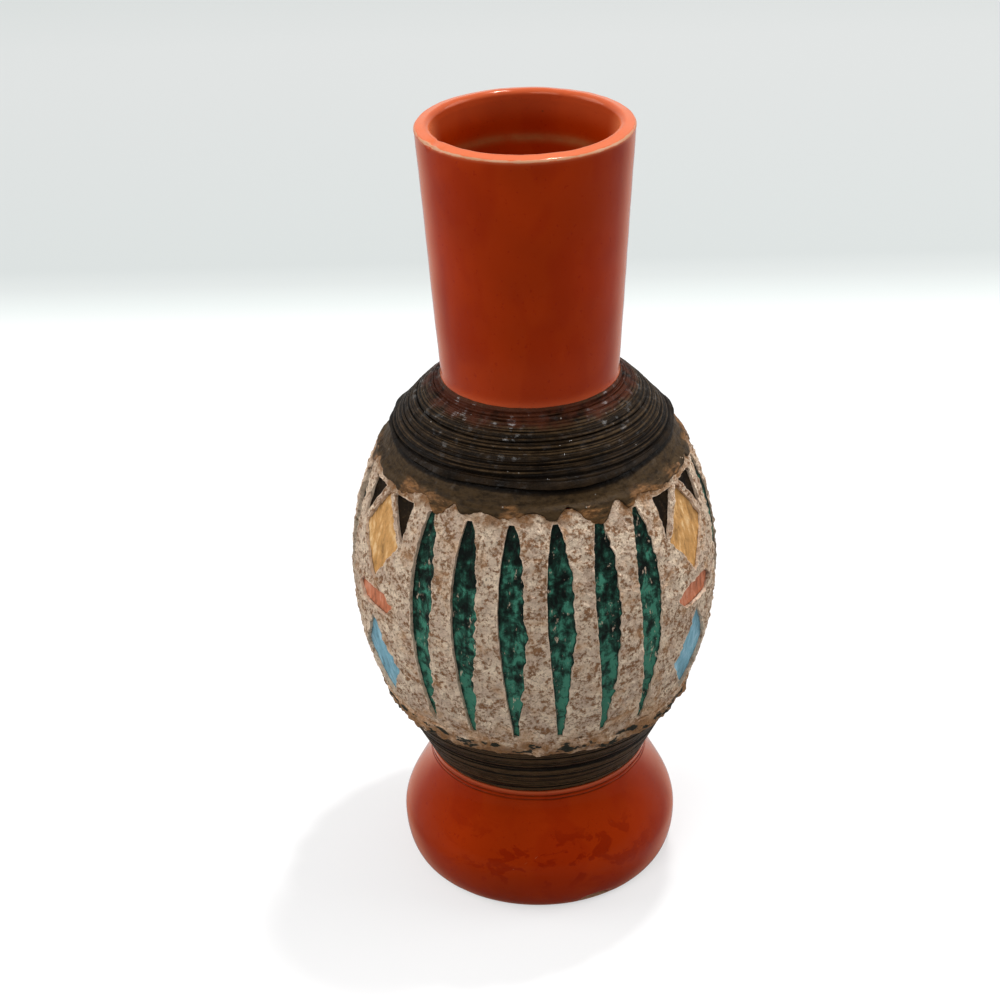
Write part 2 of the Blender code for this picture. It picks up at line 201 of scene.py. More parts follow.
def grain(points, size, seed, octaves=3):
    """Smooth noise of about -1 to 1 at each point, with features of a size in metres."""
    shift = Vector((seed * 3.71, seed * 1.93, seed * 2.57))
    rows = np.asarray(points, float).reshape(-1, 3) / size
    found = [noise.fractal(Vector(row) + shift, 1.0, 2.0, octaves) for row in rows.tolist()]
    return np.array(found).reshape(np.asarray(points).shape[:-1])


def round_points(azimuth, radius, height):
    return np.stack(np.broadcast_arrays(radius * np.sin(azimuth), -radius * np.cos(azimuth), height), -1)


def arc(centre, radii, start, end, steps):
    """Points (radius, height) on an arc from start to end degrees; radii are across and up."""
    angles = np.radians(np.linspace(start, end, steps + 1))
    return [(centre[0] + radii[0] * math.cos(a), centre[1] + radii[1] * math.sin(a)) for a in angles]


def run(first, last, step):
    """Points on a straight line, at most step apart, without the last one."""
    first, last = np.array(first), np.array(last)
    count = max(1, math.ceil(np.linalg.norm(last - first) / step))
    return [tuple(first + (last - first) * k / count) for k in range(count)]


def up_along(outline, heights, wall=0.0):
    """Points (radius, height) on an outline, or inside it by a wall."""
    return [(float(outline(h)) - wall, float(h)) for h in heights]


def finish_mesh(name, points, faces, sharp=35.0, uvs=None, values=None):
    """A smooth-shaded piece that rides on the vase's one body."""
    mesh = bpy.data.meshes.new(name)
    mesh.from_pydata(np.asarray(points).tolist(), [], faces)
    mesh.validate()
    mesh.polygons.foreach_set("use_smooth", [True] * len(mesh.polygons))
    mesh.set_sharp_from_angle(angle=math.radians(sharp))
    if uvs is not None:
        layer = mesh.uv_layers.new(name="OFBake")
        layer.uv.foreach_set("vector", np.asarray(uvs, np.float32).ravel())
    for key, value in (values or {}).items():
        layer = mesh.attributes.new(key, "FLOAT", "POINT")
        layer.data.foreach_set("value", np.asarray(value, np.float32).ravel())
    mesh.update()
    piece = bpy.data.objects.new(name, mesh)
    bpy.context.scene.collection.objects.link(piece)
    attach(piece, "root")
    return piece


def turn(name, profile, segments, push=None, values=None, closed=True):
    """A turned piece. The profile runs up the outside and down the inside as (radius, height) rows.

    push(points, rows) says how far each point stands out, and values(points, rows) gives attributes.
    A profile that isn't closed starts and ends on the axis.
    """
    profile = np.array(profile, float)
    count = len(profile)
    if closed:
        tangent = np.roll(profile, -1, 0) - np.roll(profile, 1, 0)
    else:
        tangent = np.gradient(profile, axis=0)
    tangent /= np.linalg.norm(tangent, axis=1)[:, None] + 1e-12
    azimuth = np.arange(segments) * math.tau / segments
    points = round_points(azimuth[None, :], profile[:, :1], profile[:, 1:])
    rows = np.repeat(np.arange(count)[:, None], segments, 1)
    shares = np.r_[0.0, np.cumsum(np.linalg.norm(np.diff(profile, axis=0), axis=1))]
    loop = np.linalg.norm(profile[0] - profile[-1]) if closed else 0.0
    shares /= shares[-1] + loop
    extra = values(points, rows) if values else {}
    if push:
        out = push(points, rows)
        radius = profile[:, :1] + tangent[:, 1:] * out
        height = profile[:, 1:] - tangent[:, :1] * out
        points = round_points(azimuth[None, :], radius, height)
    faces, uvs = [], []
    last_row = count if closed else count - 1
    for i in range(last_row):
        above = (i + 1) % count
        low, high = shares[i], (shares[i + 1] if i + 1 < count else 1.0)
        for j in range(segments):
            beside = (j + 1) % segments
            left, right = j / segments, (j + 1) / segments
            if not closed and i == 0:
                faces.append((0, above * segments + beside, above * segments + j))
                uvs += [((left + right) / 2, low), (right, high), (left, high)]
            elif not closed and above == count - 1:
                faces.append((i * segments + j, i * segments + beside, above * segments))
                uvs += [(left, low), (right, low), ((left + right) / 2, high)]
            else:
                faces.append((i * segments + j, i * segments + beside,
                              above * segments + beside, above * segments + j))
                uvs += [(left, low), (right, low), (right, high), (left, high)]
    flat = points.reshape(-1, 3)
    if not closed:
        keep = np.ones(len(flat), bool)
        keep[1:segments] = False
        keep[(count - 1) * segments + 1:] = False
        fresh = np.cumsum(keep) - 1
        faces = [tuple(int(fresh[k]) for k in face) for face in faces]
        flat = flat[keep]
        extra = {key: value.reshape(-1)[keep] for key, value in extra.items()}
    return finish_mesh(name, flat, faces, uvs=uvs, values=extra)


# Materials

PIT = (0.05, 0.008, 0.002)
INCISED_LINE = (0.06, 0.008, 0.001)
THIN_RING = (0.30, 0.13, 0.042)
GRAZING_SHEEN = (0.70, 0.18, 0.07)
NECK_BLEED = (0.070, 0.017, 0.007)
PALE_SPECK = (0.55, 0.50, 0.44)
WARM_TAN = (0.60, 0.335, 0.165)
HEM_BLOT = (0.010, 0.019, 0.014)


def new_finish(name):
    material = bpy.data.materials.new(name + "_finish")
    material.use_nodes = True
    tree = material.node_tree
    return material, tree, tree.nodes["Principled BSDF"]


def add(tree, kind, settings=None, **sockets):
    """A node with its settings and sockets; a socket takes a value or another node's output."""
    node = tree.nodes.new("ShaderNode" + kind)
    for key, value in (settings or {}).items():
        setattr(node, key, value)
    for key, value in sockets.items():
        put(tree, node, key.replace("_", " "), value)
    return node


def put(tree, node, key, value):
    socket = node.inputs[key]
    if isinstance(value, bpy.types.NodeSocket):
        tree.links.new(value, socket)
    else:
        socket.default_value = value


def place(tree, stretch=(1.0, 1.0, 1.0)):
    """Object coordinates, stretched along the axes."""
    where = add(tree, "TexCoord").outputs["Object"]
    return add(tree, "Mapping", Vector=where, Scale=stretch).outputs["Vector"]


def speckle(tree, size, detail=3.0, rough=0.55, stretch=(1.0, 1.0, 1.0), bend=0.0):
    """A noise value with features of a size in metres."""
    return add(tree, "TexNoise", Vector=place(tree, stretch), Scale=1.0 / size, Detail=detail,
               Roughness=rough, Distortion=bend).outputs["Fac"]


def ramp(tree, value, *stops):
    """A colour ramp; each stop is (place, colour or grey)."""
    node = add(tree, "ValToRGB", Fac=value)
    band = node.color_ramp
    while len(band.elements) < len(stops):
        band.elements.new(1.0)
    for element, (where, colour) in zip(band.elements, stops):
        element.position = where
        element.color = (*([colour] * 3 if isinstance(colour, float) else colour), 1.0)
    return node.outputs["Color"]


def blend(tree, share, first, second):
    """A mix of two colours, each a colour or a socket."""
    node = add(tree, "Mix", {"data_type": "RGBA"})
    put(tree, node, 0, share)
    for index, value in ((6, first), (7, second)):
        put(tree, node, index, value if isinstance(value, bpy.types.NodeSocket) else (*value, 1.0))
    return node.outputs[2]


def maths(tree, operation, first, second):
    node = add(tree, "Math", {"operation": operation})
    put(tree, node, 0, first)
    put(tree, node, 1, second)
    return node.outputs[0]


def times(tree, first, second):
    return maths(tree, "MULTIPLY", first, second)


def plus(tree, first, second):
    return maths(tree, "ADD", first, second)


def scaled(tree, value, factor, offset):
    """A value times a factor plus an offset."""
    result = maths(tree, "MULTIPLY_ADD", value, factor)
    put(tree, result.node, 2, offset)
    return result


def flecks(tree, low, high, size, *rest, **settings):
    """Soft-edged flecks: a speckle cut between two levels."""
    return ramp(tree, speckle(tree, size, *rest, **settings), (low, 0.0), (high, 1.0))


def level(tree, low, high, start=0.0, end=1.0, value=None):
    """The height above the table, or a value, mapped from low..high to start..end."""
    if value is None:
        value = add(tree, "SeparateXYZ", Vector=add(tree, "TexCoord").outputs["Object"]).outputs["Z"]
    return add(tree, "MapRange", {"interpolation_type": "SMOOTHSTEP"}, Value=value, From_Min=low,
               From_Max=high, To_Min=start, To_Max=end).outputs[0]


def attribute(tree, name):
    return add(tree, "Attribute", {"attribute_name": name}).outputs["Fac"]


def bump(tree, shader, height, distance, strength=1.0):
    node = add(tree, "Bump", Height=height, Distance=distance, Strength=strength)
    tree.links.new(node.outputs["Normal"], shader.inputs["Normal"])


def surface(tree, shader, colour, roughness, specular=0.5):
    """The main sockets of a shader."""
    put(tree, shader, "Base Color", colour)
    put(tree, shader, "Roughness", roughness)
    put(tree, shader, "Specular IOR Level", specular)


def shaded(colour, factor):
    return tuple(min(1.0, c * factor) for c in colour)


def orange_glaze(colours):
    """Glossy orange glaze with slow drifts of depth, fine pits, worn edges and bare clay under the foot; a
    pale sheen at grazing angles is a painted reflection, and the lip and the top of the bore are painted
    lighter, partly as painted light.
    """
    material, tree, shader = new_finish("orange_glaze")
    base = tuple(colours.glaze)
    drift = ramp(tree, speckle(tree, 0.035, 2.0), (0.3, shaded(base, 0.84)), (0.7, shaded(base, 1.12)))
    deep = (base[0] * 0.72, base[1] * 0.30, base[2] * 0.3)
    pool = flecks(tree, 0.52, 0.60, 0.014, 2.0, 0.45, (1.0, 1.0, 0.55), 0.3)
    colour = blend(tree, times(tree, pool, 0.26), drift, deep)
    marks = flecks(tree, 0.55, 0.59, 0.009, 3.0, 0.6, (1.0, 1.0, 1.6), 0.7)
    smear = times(tree, marks, attribute(tree, "smear"))
    colour = blend(tree, times(tree, smear, 0.6), colour, shaded(deep, 0.85))
    fleck = flecks(tree, 0.68, 0.75, 0.0011, 1.0, 0.4)
    colour = blend(tree, times(tree, fleck, 0.4), colour, deep)
    dots = add(tree, "TexVoronoi", Vector=place(tree), Scale=62.0).outputs["Distance"]
    pits = ramp(tree, dots, (0.022, 1.0), (0.034, 0.0))
    colour = blend(tree, times(tree, pits, 0.75), colour, PIT)
    # Where the glaze lies thinner it shows a coral colour; on the neck this lighter colour also paints light
    # on the lip's top and high in the bore.
    thin_glaze_and_painted_light = ramp(tree, attribute(tree, "thin_glaze_and_painted_light"), (0.0, 0.0), (1.0, 1.0))
    colour = blend(tree, thin_glaze_and_painted_light, colour, tuple(colours.thin_glaze))
    colour = blend(tree, attribute(tree, "line"), colour, INCISED_LINE)
    ring = times(tree, attribute(tree, "ring"), speckle(tree, 0.006))
    colour = blend(tree, ring, colour, THIN_RING)
    rub = plus(tree, attribute(tree, "wear"), times(tree, speckle(tree, 0.0025), 0.7))
    worn = level(tree, 0.84, 1.06, 0.0, 0.8, rub)
    colour = blend(tree, worn, colour, tuple(colours.bare_clay))
    edge = plus(tree, level(tree, 0.0004, 0.0020, 1.0, 0.0), times(tree, speckle(tree, 0.006), 0.5))
    bare = level(tree, 0.70, 0.90, value=edge)
    colour = blend(tree, bare, colour, tuple(colours.bare_clay))
    # Painted reflection: towards grazing angles the glaze is tinted to a pale orange sheen, standing in for
    # the pale room that it reflects.
    facing = add(tree, "LayerWeight", Blend=0.5).outputs["Facing"]
    painted_grazing_sheen = level(tree, 0.53, 0.92, 0.0, 0.78, facing)
    colour = blend(tree, painted_grazing_sheen, colour, GRAZING_SHEEN)
    matt = maths(tree, "MAXIMUM", worn, bare)
    rough = add(tree, "Mix", {"data_type": "FLOAT"})
    put(tree, rough, 0, matt)
    put(tree, rough, 2, scaled(tree, speckle(tree, 0.02), 0.06, 0.09))
    put(tree, rough, 3, 0.7)
    surface(tree, shader, colour, rough.outputs[0])
    peel = plus(tree, speckle(tree, 0.0035, 2.0), times(tree, fleck, -0.4))
    bump(tree, shader, peel, 0.00012, 0.5)
    put(tree, shader, "IOR", 1.22)
    put(tree, shader, "Specular Tint", (1.0, 0.40, 0.12, 1.0))
    put(tree, shader, "Coat Weight", scaled(tree, thin_glaze_and_painted_light, 0.35, 0.05))
    put(tree, shader, "Coat Roughness", 0.15)
    return material


def dark_slip(colours, name="dark_slip", brushed=False):
    """Brown-black slip with dusty tops on its ridges, tiny pale specks and a low sheen; the dust on the
    ridges also paints their highlights, and grooves and the band under a lip are painted darker as painted
    shade.
    """
    material, tree, shader = new_finish(name)
    base = tuple(colours.dark_slip)
    cloud = ramp(tree, speckle(tree, 0.006, 4.0), (0.34, shaded(base, 0.35)), (0.66, shaded(base, 1.5)))
    patches = level(tree, 0.30, 0.70, 0.66, 1.0, speckle(tree, 0.0030, 4.0, 0.7, (1.0, 1.0, 2.5)))
    ridge_dust_and_painted_light = attribute(tree, "ridge_dust_and_painted_light")
    # Painted shade: where the mask is low, in the comb's grooves and just under a lip, the slip is darkened
    # towards a fifth of its colour.
    colour = blend(tree, level(tree, 0.0, 0.6, 0.9, 0.0, ridge_dust_and_painted_light), cloud, shaded(base, 0.2))
    # The pale dust on the ridges is partly real dust and partly a painted highlight along their upper edges.
    dust_and_highlight = times(tree, ridge_dust_and_painted_light, patches)
    colour = blend(tree, level(tree, 0.50, 1.02, 0.0, 1.0, dust_and_highlight), colour, tuple(colours.slip_dust_and_highlight))
    fine = flecks(tree, 0.55, 0.80, 0.0009, 2.0, 0.6)
    amount = 0.75 if brushed else 0.15
    colour = blend(tree, times(tree, fine, amount), colour, tuple(colours.slip_dust_and_highlight))
    streaks = speckle(tree, 0.0046, 6.0, 0.75, (0.6, 0.6, 2.6))
    stain = scaled(tree, attribute(tree, "stain"), 0.5, streaks)
    ochre = ramp(tree, speckle(tree, 0.0018, 4.0, 0.7, (0.6, 0.6, 2.0)),
                 (0.40, shaded(tuple(colours.ochre_stain), 0.30)), (0.62, tuple(colours.ochre_stain)))
    colour = blend(tree, level(tree, 0.76, 1.00, 0.0, 0.9, stain), colour, ochre)
    bleed = times(tree, level(tree, 0.1560, 0.1635), speckle(tree, 0.006, 3.0, 0.6))
    colour = blend(tree, level(tree, 0.25, 0.55, 0.0, 0.75, bleed), colour, NECK_BLEED)
    dots = add(tree, "TexVoronoi", Vector=place(tree), Scale=150.0).outputs["Distance"]
    pale = ramp(tree, dots, (0.0, 1.0), (0.045, 0.0))
    colour = blend(tree, times(tree, pale, 0.8), colour, PALE_SPECK)
    sheen = scaled(tree, speckle(tree, 0.004, 3.0), 0.30, 0.42 if brushed else 0.26)
    surface(tree, shader, colour, sheen, 0.06)
    shine = flecks(tree, 0.56, 0.70, 0.0022, 2.0)
    wet = times(tree, shine, level(tree, 0.1500, 0.1610, 0.10, 0.9))
    put(tree, shader, "Coat Weight", wet)
    put(tree, shader, "Coat Roughness", 0.12)
    grit = plus(tree, speckle(tree, 0.0008, 3.0, 0.7), speckle(tree, 0.003, 3.0, 0.6))
    bump(tree, shader, grit, 0.00028, 0.7)
    return material


def cream_slip(colours):
    """Rough cream slip with brown mottling, tan stains towards the edges, and painted lighter along the rims
    of its cuts as a painted highlight.
    """
    material, tree, shader = new_finish("cream_slip")
    base = tuple(colours.cream_slip)
    brown = tuple(colours.cream_mottle)
    cloud = ramp(tree, speckle(tree, 0.0052, 4.0, 0.6),
                 (0.36, shaded(base, 0.72)), (0.64, shaded(base, 1.22)))
    groups = times(tree, speckle(tree, 0.0036, 3.0, 0.6, bend=0.3), 0.38)
    grains = times(tree, speckle(tree, 0.0012, 3.0, 0.7), 0.62)
    mottle = ramp(tree, plus(tree, groups, grains), (0.480, 0.0), (0.575, 1.0))
    colour = blend(tree, times(tree, mottle, 0.95), cloud, brown)
    low = level(tree, HEM_TOP + 0.012, HEM_TOP - 0.002, 0.0, 0.16)
    tan = plus(tree, speckle(tree, 0.0075, 4.0, 0.65), low)
    colour = blend(tree, level(tree, 0.50, 0.72, 0.0, 0.60, tan), colour, WARM_TAN)
    core = flecks(tree, 0.60, 0.68, 0.0015, 4.0, 0.7, bend=0.3)
    colour = blend(tree, times(tree, core, 0.7), colour, shaded(brown, 0.45))
    fine = flecks(tree, 0.56, 0.70, 0.0007, 2.0, 0.7)
    colour = blend(tree, times(tree, fine, 0.4), colour, shaded(brown, 0.8))
    reach = plus(tree, level(tree, FRIEZE_TOP - 0.010, FRIEZE_TOP - 0.001),
                 level(tree, HEM_TOP + 0.004, HEM_TOP - 0.001))
    stain = times(tree, reach, speckle(tree, 0.005, 3.0))
    colour = blend(tree, level(tree, 0.30, 0.56, 0.0, 0.85, stain), colour, tuple(colours.ochre_stain))
    # Painted highlight: the cream is lightened along the rims of its cuts.
    rim = times(tree, attribute(tree, "edge"), speckle(tree, 0.003, 3.0, 0.6))
    colour = blend(tree, level(tree, 0.30, 0.62, 0.0, 0.8, rim), colour, shaded(base, 1.15))
    blot = times(tree, attribute(tree, "blot"), speckle(tree, 0.0060, 4.0, 0.6, (1.0, 1.0, 2.2)))
    colour = blend(tree, level(tree, 0.50, 0.54, 0.0, 0.95, blot), colour, HEM_BLOT)
    surface(tree, shader, colour, 0.72, 0.15)
    grit = plus(tree, speckle(tree, 0.0007, 3.0, 0.7), speckle(tree, 0.0020, 4.0, 0.65))
    bump(tree, shader, grit, 0.0013, 1.0)
    return material


def green_glaze(colours):
    """Mottled dark green glaze that thins to teal and shows specks of the cream under it; its edges are
    darkened as painted shade from the cut walls.
    """
    material, tree, shader = new_finish("green_glaze")
    base = tuple(colours.green_glaze)
    cloud = speckle(tree, 0.0040, 5.0, 0.68, bend=0.4)
    streak = speckle(tree, 0.0016, 4.0, 0.6, (1.0, 1.0, 0.3))
    low = level(tree, HEM_TOP, FRIEZE_TOP, 0.10, -0.05)
    both = plus(tree, times(tree, cloud, 0.65), times(tree, streak, 0.35))
    depth = ramp(tree, plus(tree, both, low), (0.41, shaded(base, 0.05)), (0.475, shaded(base, 0.35)),
                 (0.525, base), (0.59, shaded(base, 3.0)))
    # Painted shade: the glaze is darkened along its edges, most widely on the left side of a leaf.
    rim = times(tree, attribute(tree, "edge"), speckle(tree, 0.003, 3.0, 0.6))
    colour = blend(tree, level(tree, 0.2, 0.5, 0.0, 0.85, rim), depth, shaded(base, 0.10))
    show = flecks(tree, 0.62, 0.70, 0.0013, 4.0, 0.65, (1.0, 1.0, 0.35))
    colour = blend(tree, times(tree, show, 0.6), colour, tuple(colours.cream_slip))
    surface(tree, shader, colour, 0.40, 0.12)
    grit = plus(tree, speckle(tree, 0.0009, 3.0, 0.7), speckle(tree, 0.003, 3.0, 0.6))
    bump(tree, shader, grit, 0.00035, 0.8)
    return material


def brushed_slip(colours, name, base, deep, pale):
    """Matt coloured slip laid with a stiff brush, streaked lengthwise and dark in its corners."""
    material, tree, shader = new_finish(name)
    streak = speckle(tree, 0.0016, 4.0, 0.6, (1.0, 1.0, 0.22))
    cloud = speckle(tree, 0.005, 3.0, 0.6)
    both = plus(tree, times(tree, streak, 0.6), times(tree, cloud, 0.4))
    colour = ramp(tree, both, (0.36, shaded(base, 0.50)), (0.45, shaded(base, 0.85)),
                  (0.52, base), (0.64, pale))
    rim = times(tree, attribute(tree, "edge"), speckle(tree, 0.002, 3.0, 0.6))
    colour = blend(tree, level(tree, 0.26, 0.60, 0.0, 0.9, rim), colour, deep)
    fleck = flecks(tree, 0.62, 0.72, 0.0011, 3.0, 0.6)
    colour = blend(tree, times(tree, fleck, 0.4), colour, deep)
    surface(tree, shader, colour, 0.66, 0.15)
    bump(tree, shader, plus(tree, streak, speckle(tree, 0.0008, 2.0, 0.7)), 0.0003, 0.7)
    return material


def joint_clay(colours):
    """Matt red-brown clay slip, mottled, for the joints."""
    material, tree, shader = new_finish("luting_slip")
    base = tuple(colours.joint_slip)
    colour = ramp(tree, speckle(tree, 0.002, 4.0), (0.35, shaded(base, 0.7)), (0.65, shaded(base, 1.3)))
    surface(tree, shader, colour, 0.8)
    bump(tree, shader, speckle(tree, 0.0008), 0.0002)
    return material


def finish_of(piece, slot, material):
    """Gives a piece its material; the slot is not used."""
    piece.data.materials.clear()
    piece.data.materials.append(material)


MADE = {}


def shared(maker, colours, *rest):
    """The material that a maker builds, made once."""
    key = (maker, rest[:1])
    if key not in MADE:
        MADE[key] = maker(colours, *rest)
    return MADE[key]


# Pieces

def dent(points, azimuth, height, size, depth):
    """A shallow chip at a place on the surface, as a push inwards."""
    across = wrapped(azimuth_of(points) - azimuth) * radius_of(points)
    far = (across / size[0]) ** 2 + ((points[..., 2] - height) / size[1]) ** 2
    ragged = 1.0 + 0.6 * grain(points, 0.0016, 9, 2)
    return -depth * np.exp(-far * far * ragged)


def groove(distance, width, depth):
    return -depth * bell(distance, width)


UPPER_LINE = 0.0374
LOWER_LINE = 0.0362
LARGE_CHIP = 0.43
SMALL_CHIP = -0.62


def line_sway(points):
    """How far the two incised lines stray up and down."""
    return 0.00022 * grain(points * np.array([1.0, 1.0, 0.0]), 0.012, 5, 2)


def build_foot(sizes, colours):
    """The glazed foot, with two incised lines under the waist and a bare standing ring."""
    inner = STANDING_RADIUS - STANDING_RING_WIDTH
    profile = run((0.0, BASE_RECESS_DEPTH), (inner - BASE_RECESS_SLOPE, BASE_RECESS_DEPTH), 0.004)
    profile += run((inner - BASE_RECESS_SLOPE, BASE_RECESS_DEPTH), (inner, 0.0), 0.0008)
    profile += run((inner, 0.0), (STANDING_RADIUS, 0.0), 0.0016)
    bulge = (FOOT_RADIUS - STANDING_RADIUS, FOOT_BULGE_HEIGHT)
    profile += arc((STANDING_RADIUS, FOOT_BULGE_HEIGHT), bulge, -90.0, 0.0, 40)
    heights = np.r_[np.arange(FOOT_BULGE_HEIGHT + 0.0005, 0.0345, 0.0006),
                    np.arange(0.0345, FOOT_SEAT, 0.00016)]
    profile += up_along(foot_radius, heights)
    bore = float(foot_radius(FOOT_SEAT)) - FOOT_WALL
    lap_top = FOOT_SEAT + LAP_HEIGHT
    profile += [(float(foot_radius(FOOT_SEAT)), FOOT_SEAT), (bore + LAP_WALL, FOOT_SEAT)]
    profile += [(bore + LAP_WALL, lap_top), (bore, lap_top)]
    floor_top = BASE_RECESS_DEPTH + FOOT_FLOOR
    round_top = floor_top + WELL_ROUND
    profile += up_along(foot_radius, np.arange(FOOT_SEAT, round_top, -0.0015), FOOT_WALL)
    well = float(foot_radius(round_top)) - FOOT_WALL
    profile += arc((well - WELL_ROUND, round_top), (WELL_ROUND, WELL_ROUND), 0.0, -90.0, 10)
    profile += run((well - WELL_ROUND, floor_top), (0.0, floor_top), 0.003)[1:] + [(0.0, floor_top)]

    def push(points, rows):
        height = points[..., 2]
        skin = (height > 0.0004) & (height < FOOT_SEAT - 0.0001)
        skin &= radius_of(points) > bore + LAP_WALL + 0.0006
        out = 0.00012 * grain(points, 0.022, 3, 2)
        stray = line_sway(points)
        out += groove(height - UPPER_LINE - stray, 0.00026, sizes.incised_depth)
        out += groove(height - LOWER_LINE - stray, 0.00022, 0.8 * sizes.incised_depth)
        out += dent(points, LARGE_CHIP, 0.0012, (0.0042, 0.0018), 0.0016)
        out += dent(points, SMALL_CHIP, 0.0004, (0.0022, 0.0008), 0.0006)
        return np.where(skin, out, 0.0)

    def values(points, rows):
        height = points[..., 2]
        chip = dent(points, LARGE_CHIP, 0.0012, (0.0044, 0.0014), 1.0)
        chip += dent(points, SMALL_CHIP, 0.0006, (0.0026, 0.0007), 1.0)
        stray = line_sway(points)
        cut = -groove(height - UPPER_LINE - stray, 0.00028, 1.0)
        cut -= groove(height - LOWER_LINE - stray, 0.00025, 0.95)
        patchy = np.clip(0.85 + 0.5 * grain(points, 0.006, 6, 2), 0.0, 1.0)
        around = azimuth_of(points)
        brushed = bell(around - 0.12, 0.75, 4) * bell(height - 0.0185, 0.0080, 4)
        across = around - (height - 0.0180) * 45.0
        scratch = bell(across + 0.12, 0.016) * bell(height - 0.0180, 0.0038, 4)
        return {"wear": -0.75 * chip + 0.62 * scratch, "thin_glaze_and_painted_light": 0.45 * smooth(0.0376, 0.0390, height),
                "line": cut * patchy, "smear": 0.12 + 0.88 * brushed}

    piece = turn("glazed_foot", profile, segments=320, push=push, values=values, closed=False)
    finish_of(piece, "orange_glaze", shared(orange_glaze, colours))
    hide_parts("foot")


NECK_SEAT = 0.1606
NECK_OUTER_BASE = 0.1622
NECK_INNER_BASE = 0.1637
THIN_RING_HEIGHT = 0.2262
LARGE_LIP_CHIP = -1.02
SMALL_LIP_CHIP = -0.84


def build_neck(sizes, colours):
    """The glazed neck, with throwing waves, a worn outer lip and a ring of thinner glaze inside; the lip's
    top and the bore just under the rim are painted lighter, partly as painted light.
    """
    top = NECK_BASE + NECK_LENGTH
    lap = NECK_BASE_RADIUS - NECK_WALL + LAP_WALL + GAP
    profile = [(lap, NECK_OUTER_BASE)]
    profile += up_along(neck_radius, np.arange(NECK_OUTER_BASE, top - 0.0022, 0.0009))
    outer_top = top - 0.0004
    profile += up_along(neck_radius, np.arange(top - 0.0020, outer_top - LIP_OUTER_ROUND, 0.00015))
    centre = (float(neck_radius(outer_top)) - LIP_OUTER_ROUND, outer_top - LIP_OUTER_ROUND)
    profile += arc(centre, (LIP_OUTER_ROUND, LIP_OUTER_ROUND), 0.0, 90.0, 9)
    bore_top = float(neck_radius(top)) - NECK_WALL
    inner_start = (bore_top + LIP_INNER_ROUND, top)
    profile += run(profile[-1], inner_start, 0.00025)[1:]
    centre = (bore_top + LIP_INNER_ROUND, top - LIP_INNER_ROUND)
    profile += arc(centre, (LIP_INNER_ROUND, LIP_INNER_ROUND), 90.0, 180.0, 9)
    profile += up_along(neck_radius, np.arange(top - LIP_INNER_ROUND - 0.0006, NECK_INNER_BASE, -0.0009),
                        NECK_WALL)
    profile += up_along(neck_radius, [NECK_INNER_BASE], NECK_WALL) + [(lap, NECK_INNER_BASE)]

    def push(points, rows):
        height = points[..., 2]
        shown = smooth(NECK_OUTER_BASE + 0.001, NECK_OUTER_BASE + 0.003, height)
        wave = 0.00002 * np.sin(height / 0.0019 + 3.0 * grain(points, 0.04, 12, 1))
        sway = 0.00016 * grain(points, 0.035, 11, 1)
        lip = smooth(top - 0.004, top, height) * 0.00012 * grain(points, 0.006, 13, 2)
        chips = dent(points, LARGE_LIP_CHIP, top - 0.0009, (0.0022, 0.0008), 0.0007)
        chips += dent(points, SMALL_LIP_CHIP, top - 0.0008, (0.0010, 0.0005), 0.0003)
        collar = 0.0006 * bell(height - NECK_BASE + 0.0004, 0.0016)
        return shown * (wave + sway + lip + chips + collar)

    def values(points, rows):
        height = points[..., 2]
        radius = radius_of(points)
        edge = np.hypot(radius - NECK_TOP_RADIUS + 0.0002, height - outer_top + 0.0004)
        rub = 0.74 * bell(edge, 0.00070)
        chip = -0.5 * dent(points, LARGE_LIP_CHIP, top - 0.0006, (0.0030, 0.0010), 1.0)
        bore = radius < neck_radius(height) - 0.6 * NECK_WALL
        ring = 0.9 * bell(height - THIN_RING_HEIGHT, 0.0012) * bore
        foot_line = 0.5 * bell(height - NECK_BASE + 0.0005, 0.0022) * ~bore
        foot_line += 0.05 * smooth(0.184, 0.172, height) * ~bore
        bevel = smooth(bore_top + 0.0024, bore_top + 0.0010, radius)
        # The lip's upward face is painted lighter, partly from thinner glaze and partly as painted light from
        # above.
        lip = smooth(top - 0.0022, top - 0.0004, height) * (1.0 - 0.45 * bevel)
        # Painted light: inside the bore, just under the rim, the wall is painted lighter where light falls
        # into the top.
        under = 0.25 * smooth(top - 0.0100, top - 0.0030, height) * bore
        return {"wear": rub + chip, "ring": ring, "thin_glaze_and_painted_light": np.maximum(under + foot_line, lip)}

    piece = turn("glazed_neck", profile, segments=288, push=push, values=values)
    finish_of(piece, "orange_glaze", shared(orange_glaze, colours))
    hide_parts("neck")


def build_belly(sizes, colours):
    """The belly wall under the coats, glazed on its inside."""
    depth = CLAY_DEPTH + BELLY_WALL
    bore = NECK_BASE_RADIUS - NECK_WALL
    lap = bore + LAP_WALL
    foot_lap = float(foot_radius(FOOT_SEAT)) - FOOT_WALL + LAP_WALL + GAP
    bottom = FOOT_SEAT + 0.0016
    outer = np.linspace(cone_station(CLAY_DEPTH, bottom),
                        station_at(CLAY_DEPTH, NECK_BASE_RADIUS + 0.0017), 70)
    inner = np.linspace(station_at(depth, bore), cone_station(depth, FOOT_SEAT + LAP_HEIGHT + GAP), 70)
    profile = [(foot_lap, bottom)]
    profile += [tuple(float(v) for v in belly_point(h, CLAY_DEPTH)) for h in outer]
    profile += [(lap, NECK_SEAT), (lap, NECK_SEAT + LAP_HEIGHT), (bore, NECK_SEAT + LAP_HEIGHT)]
    profile += [tuple(float(v) for v in belly_point(h, depth)) for h in inner]
    profile += [(foot_lap, FOOT_SEAT + LAP_HEIGHT + GAP)]

    def push(points, rows):
        return np.where(rows > 75, 0.0002 * np.sin(points[..., 2] / 0.0018), 0.0)

    piece = turn("belly_wall", profile, segments=192, push=push)
    finish_of(piece, "belly_clay", shared(orange_glaze, colours))
    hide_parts("belly")


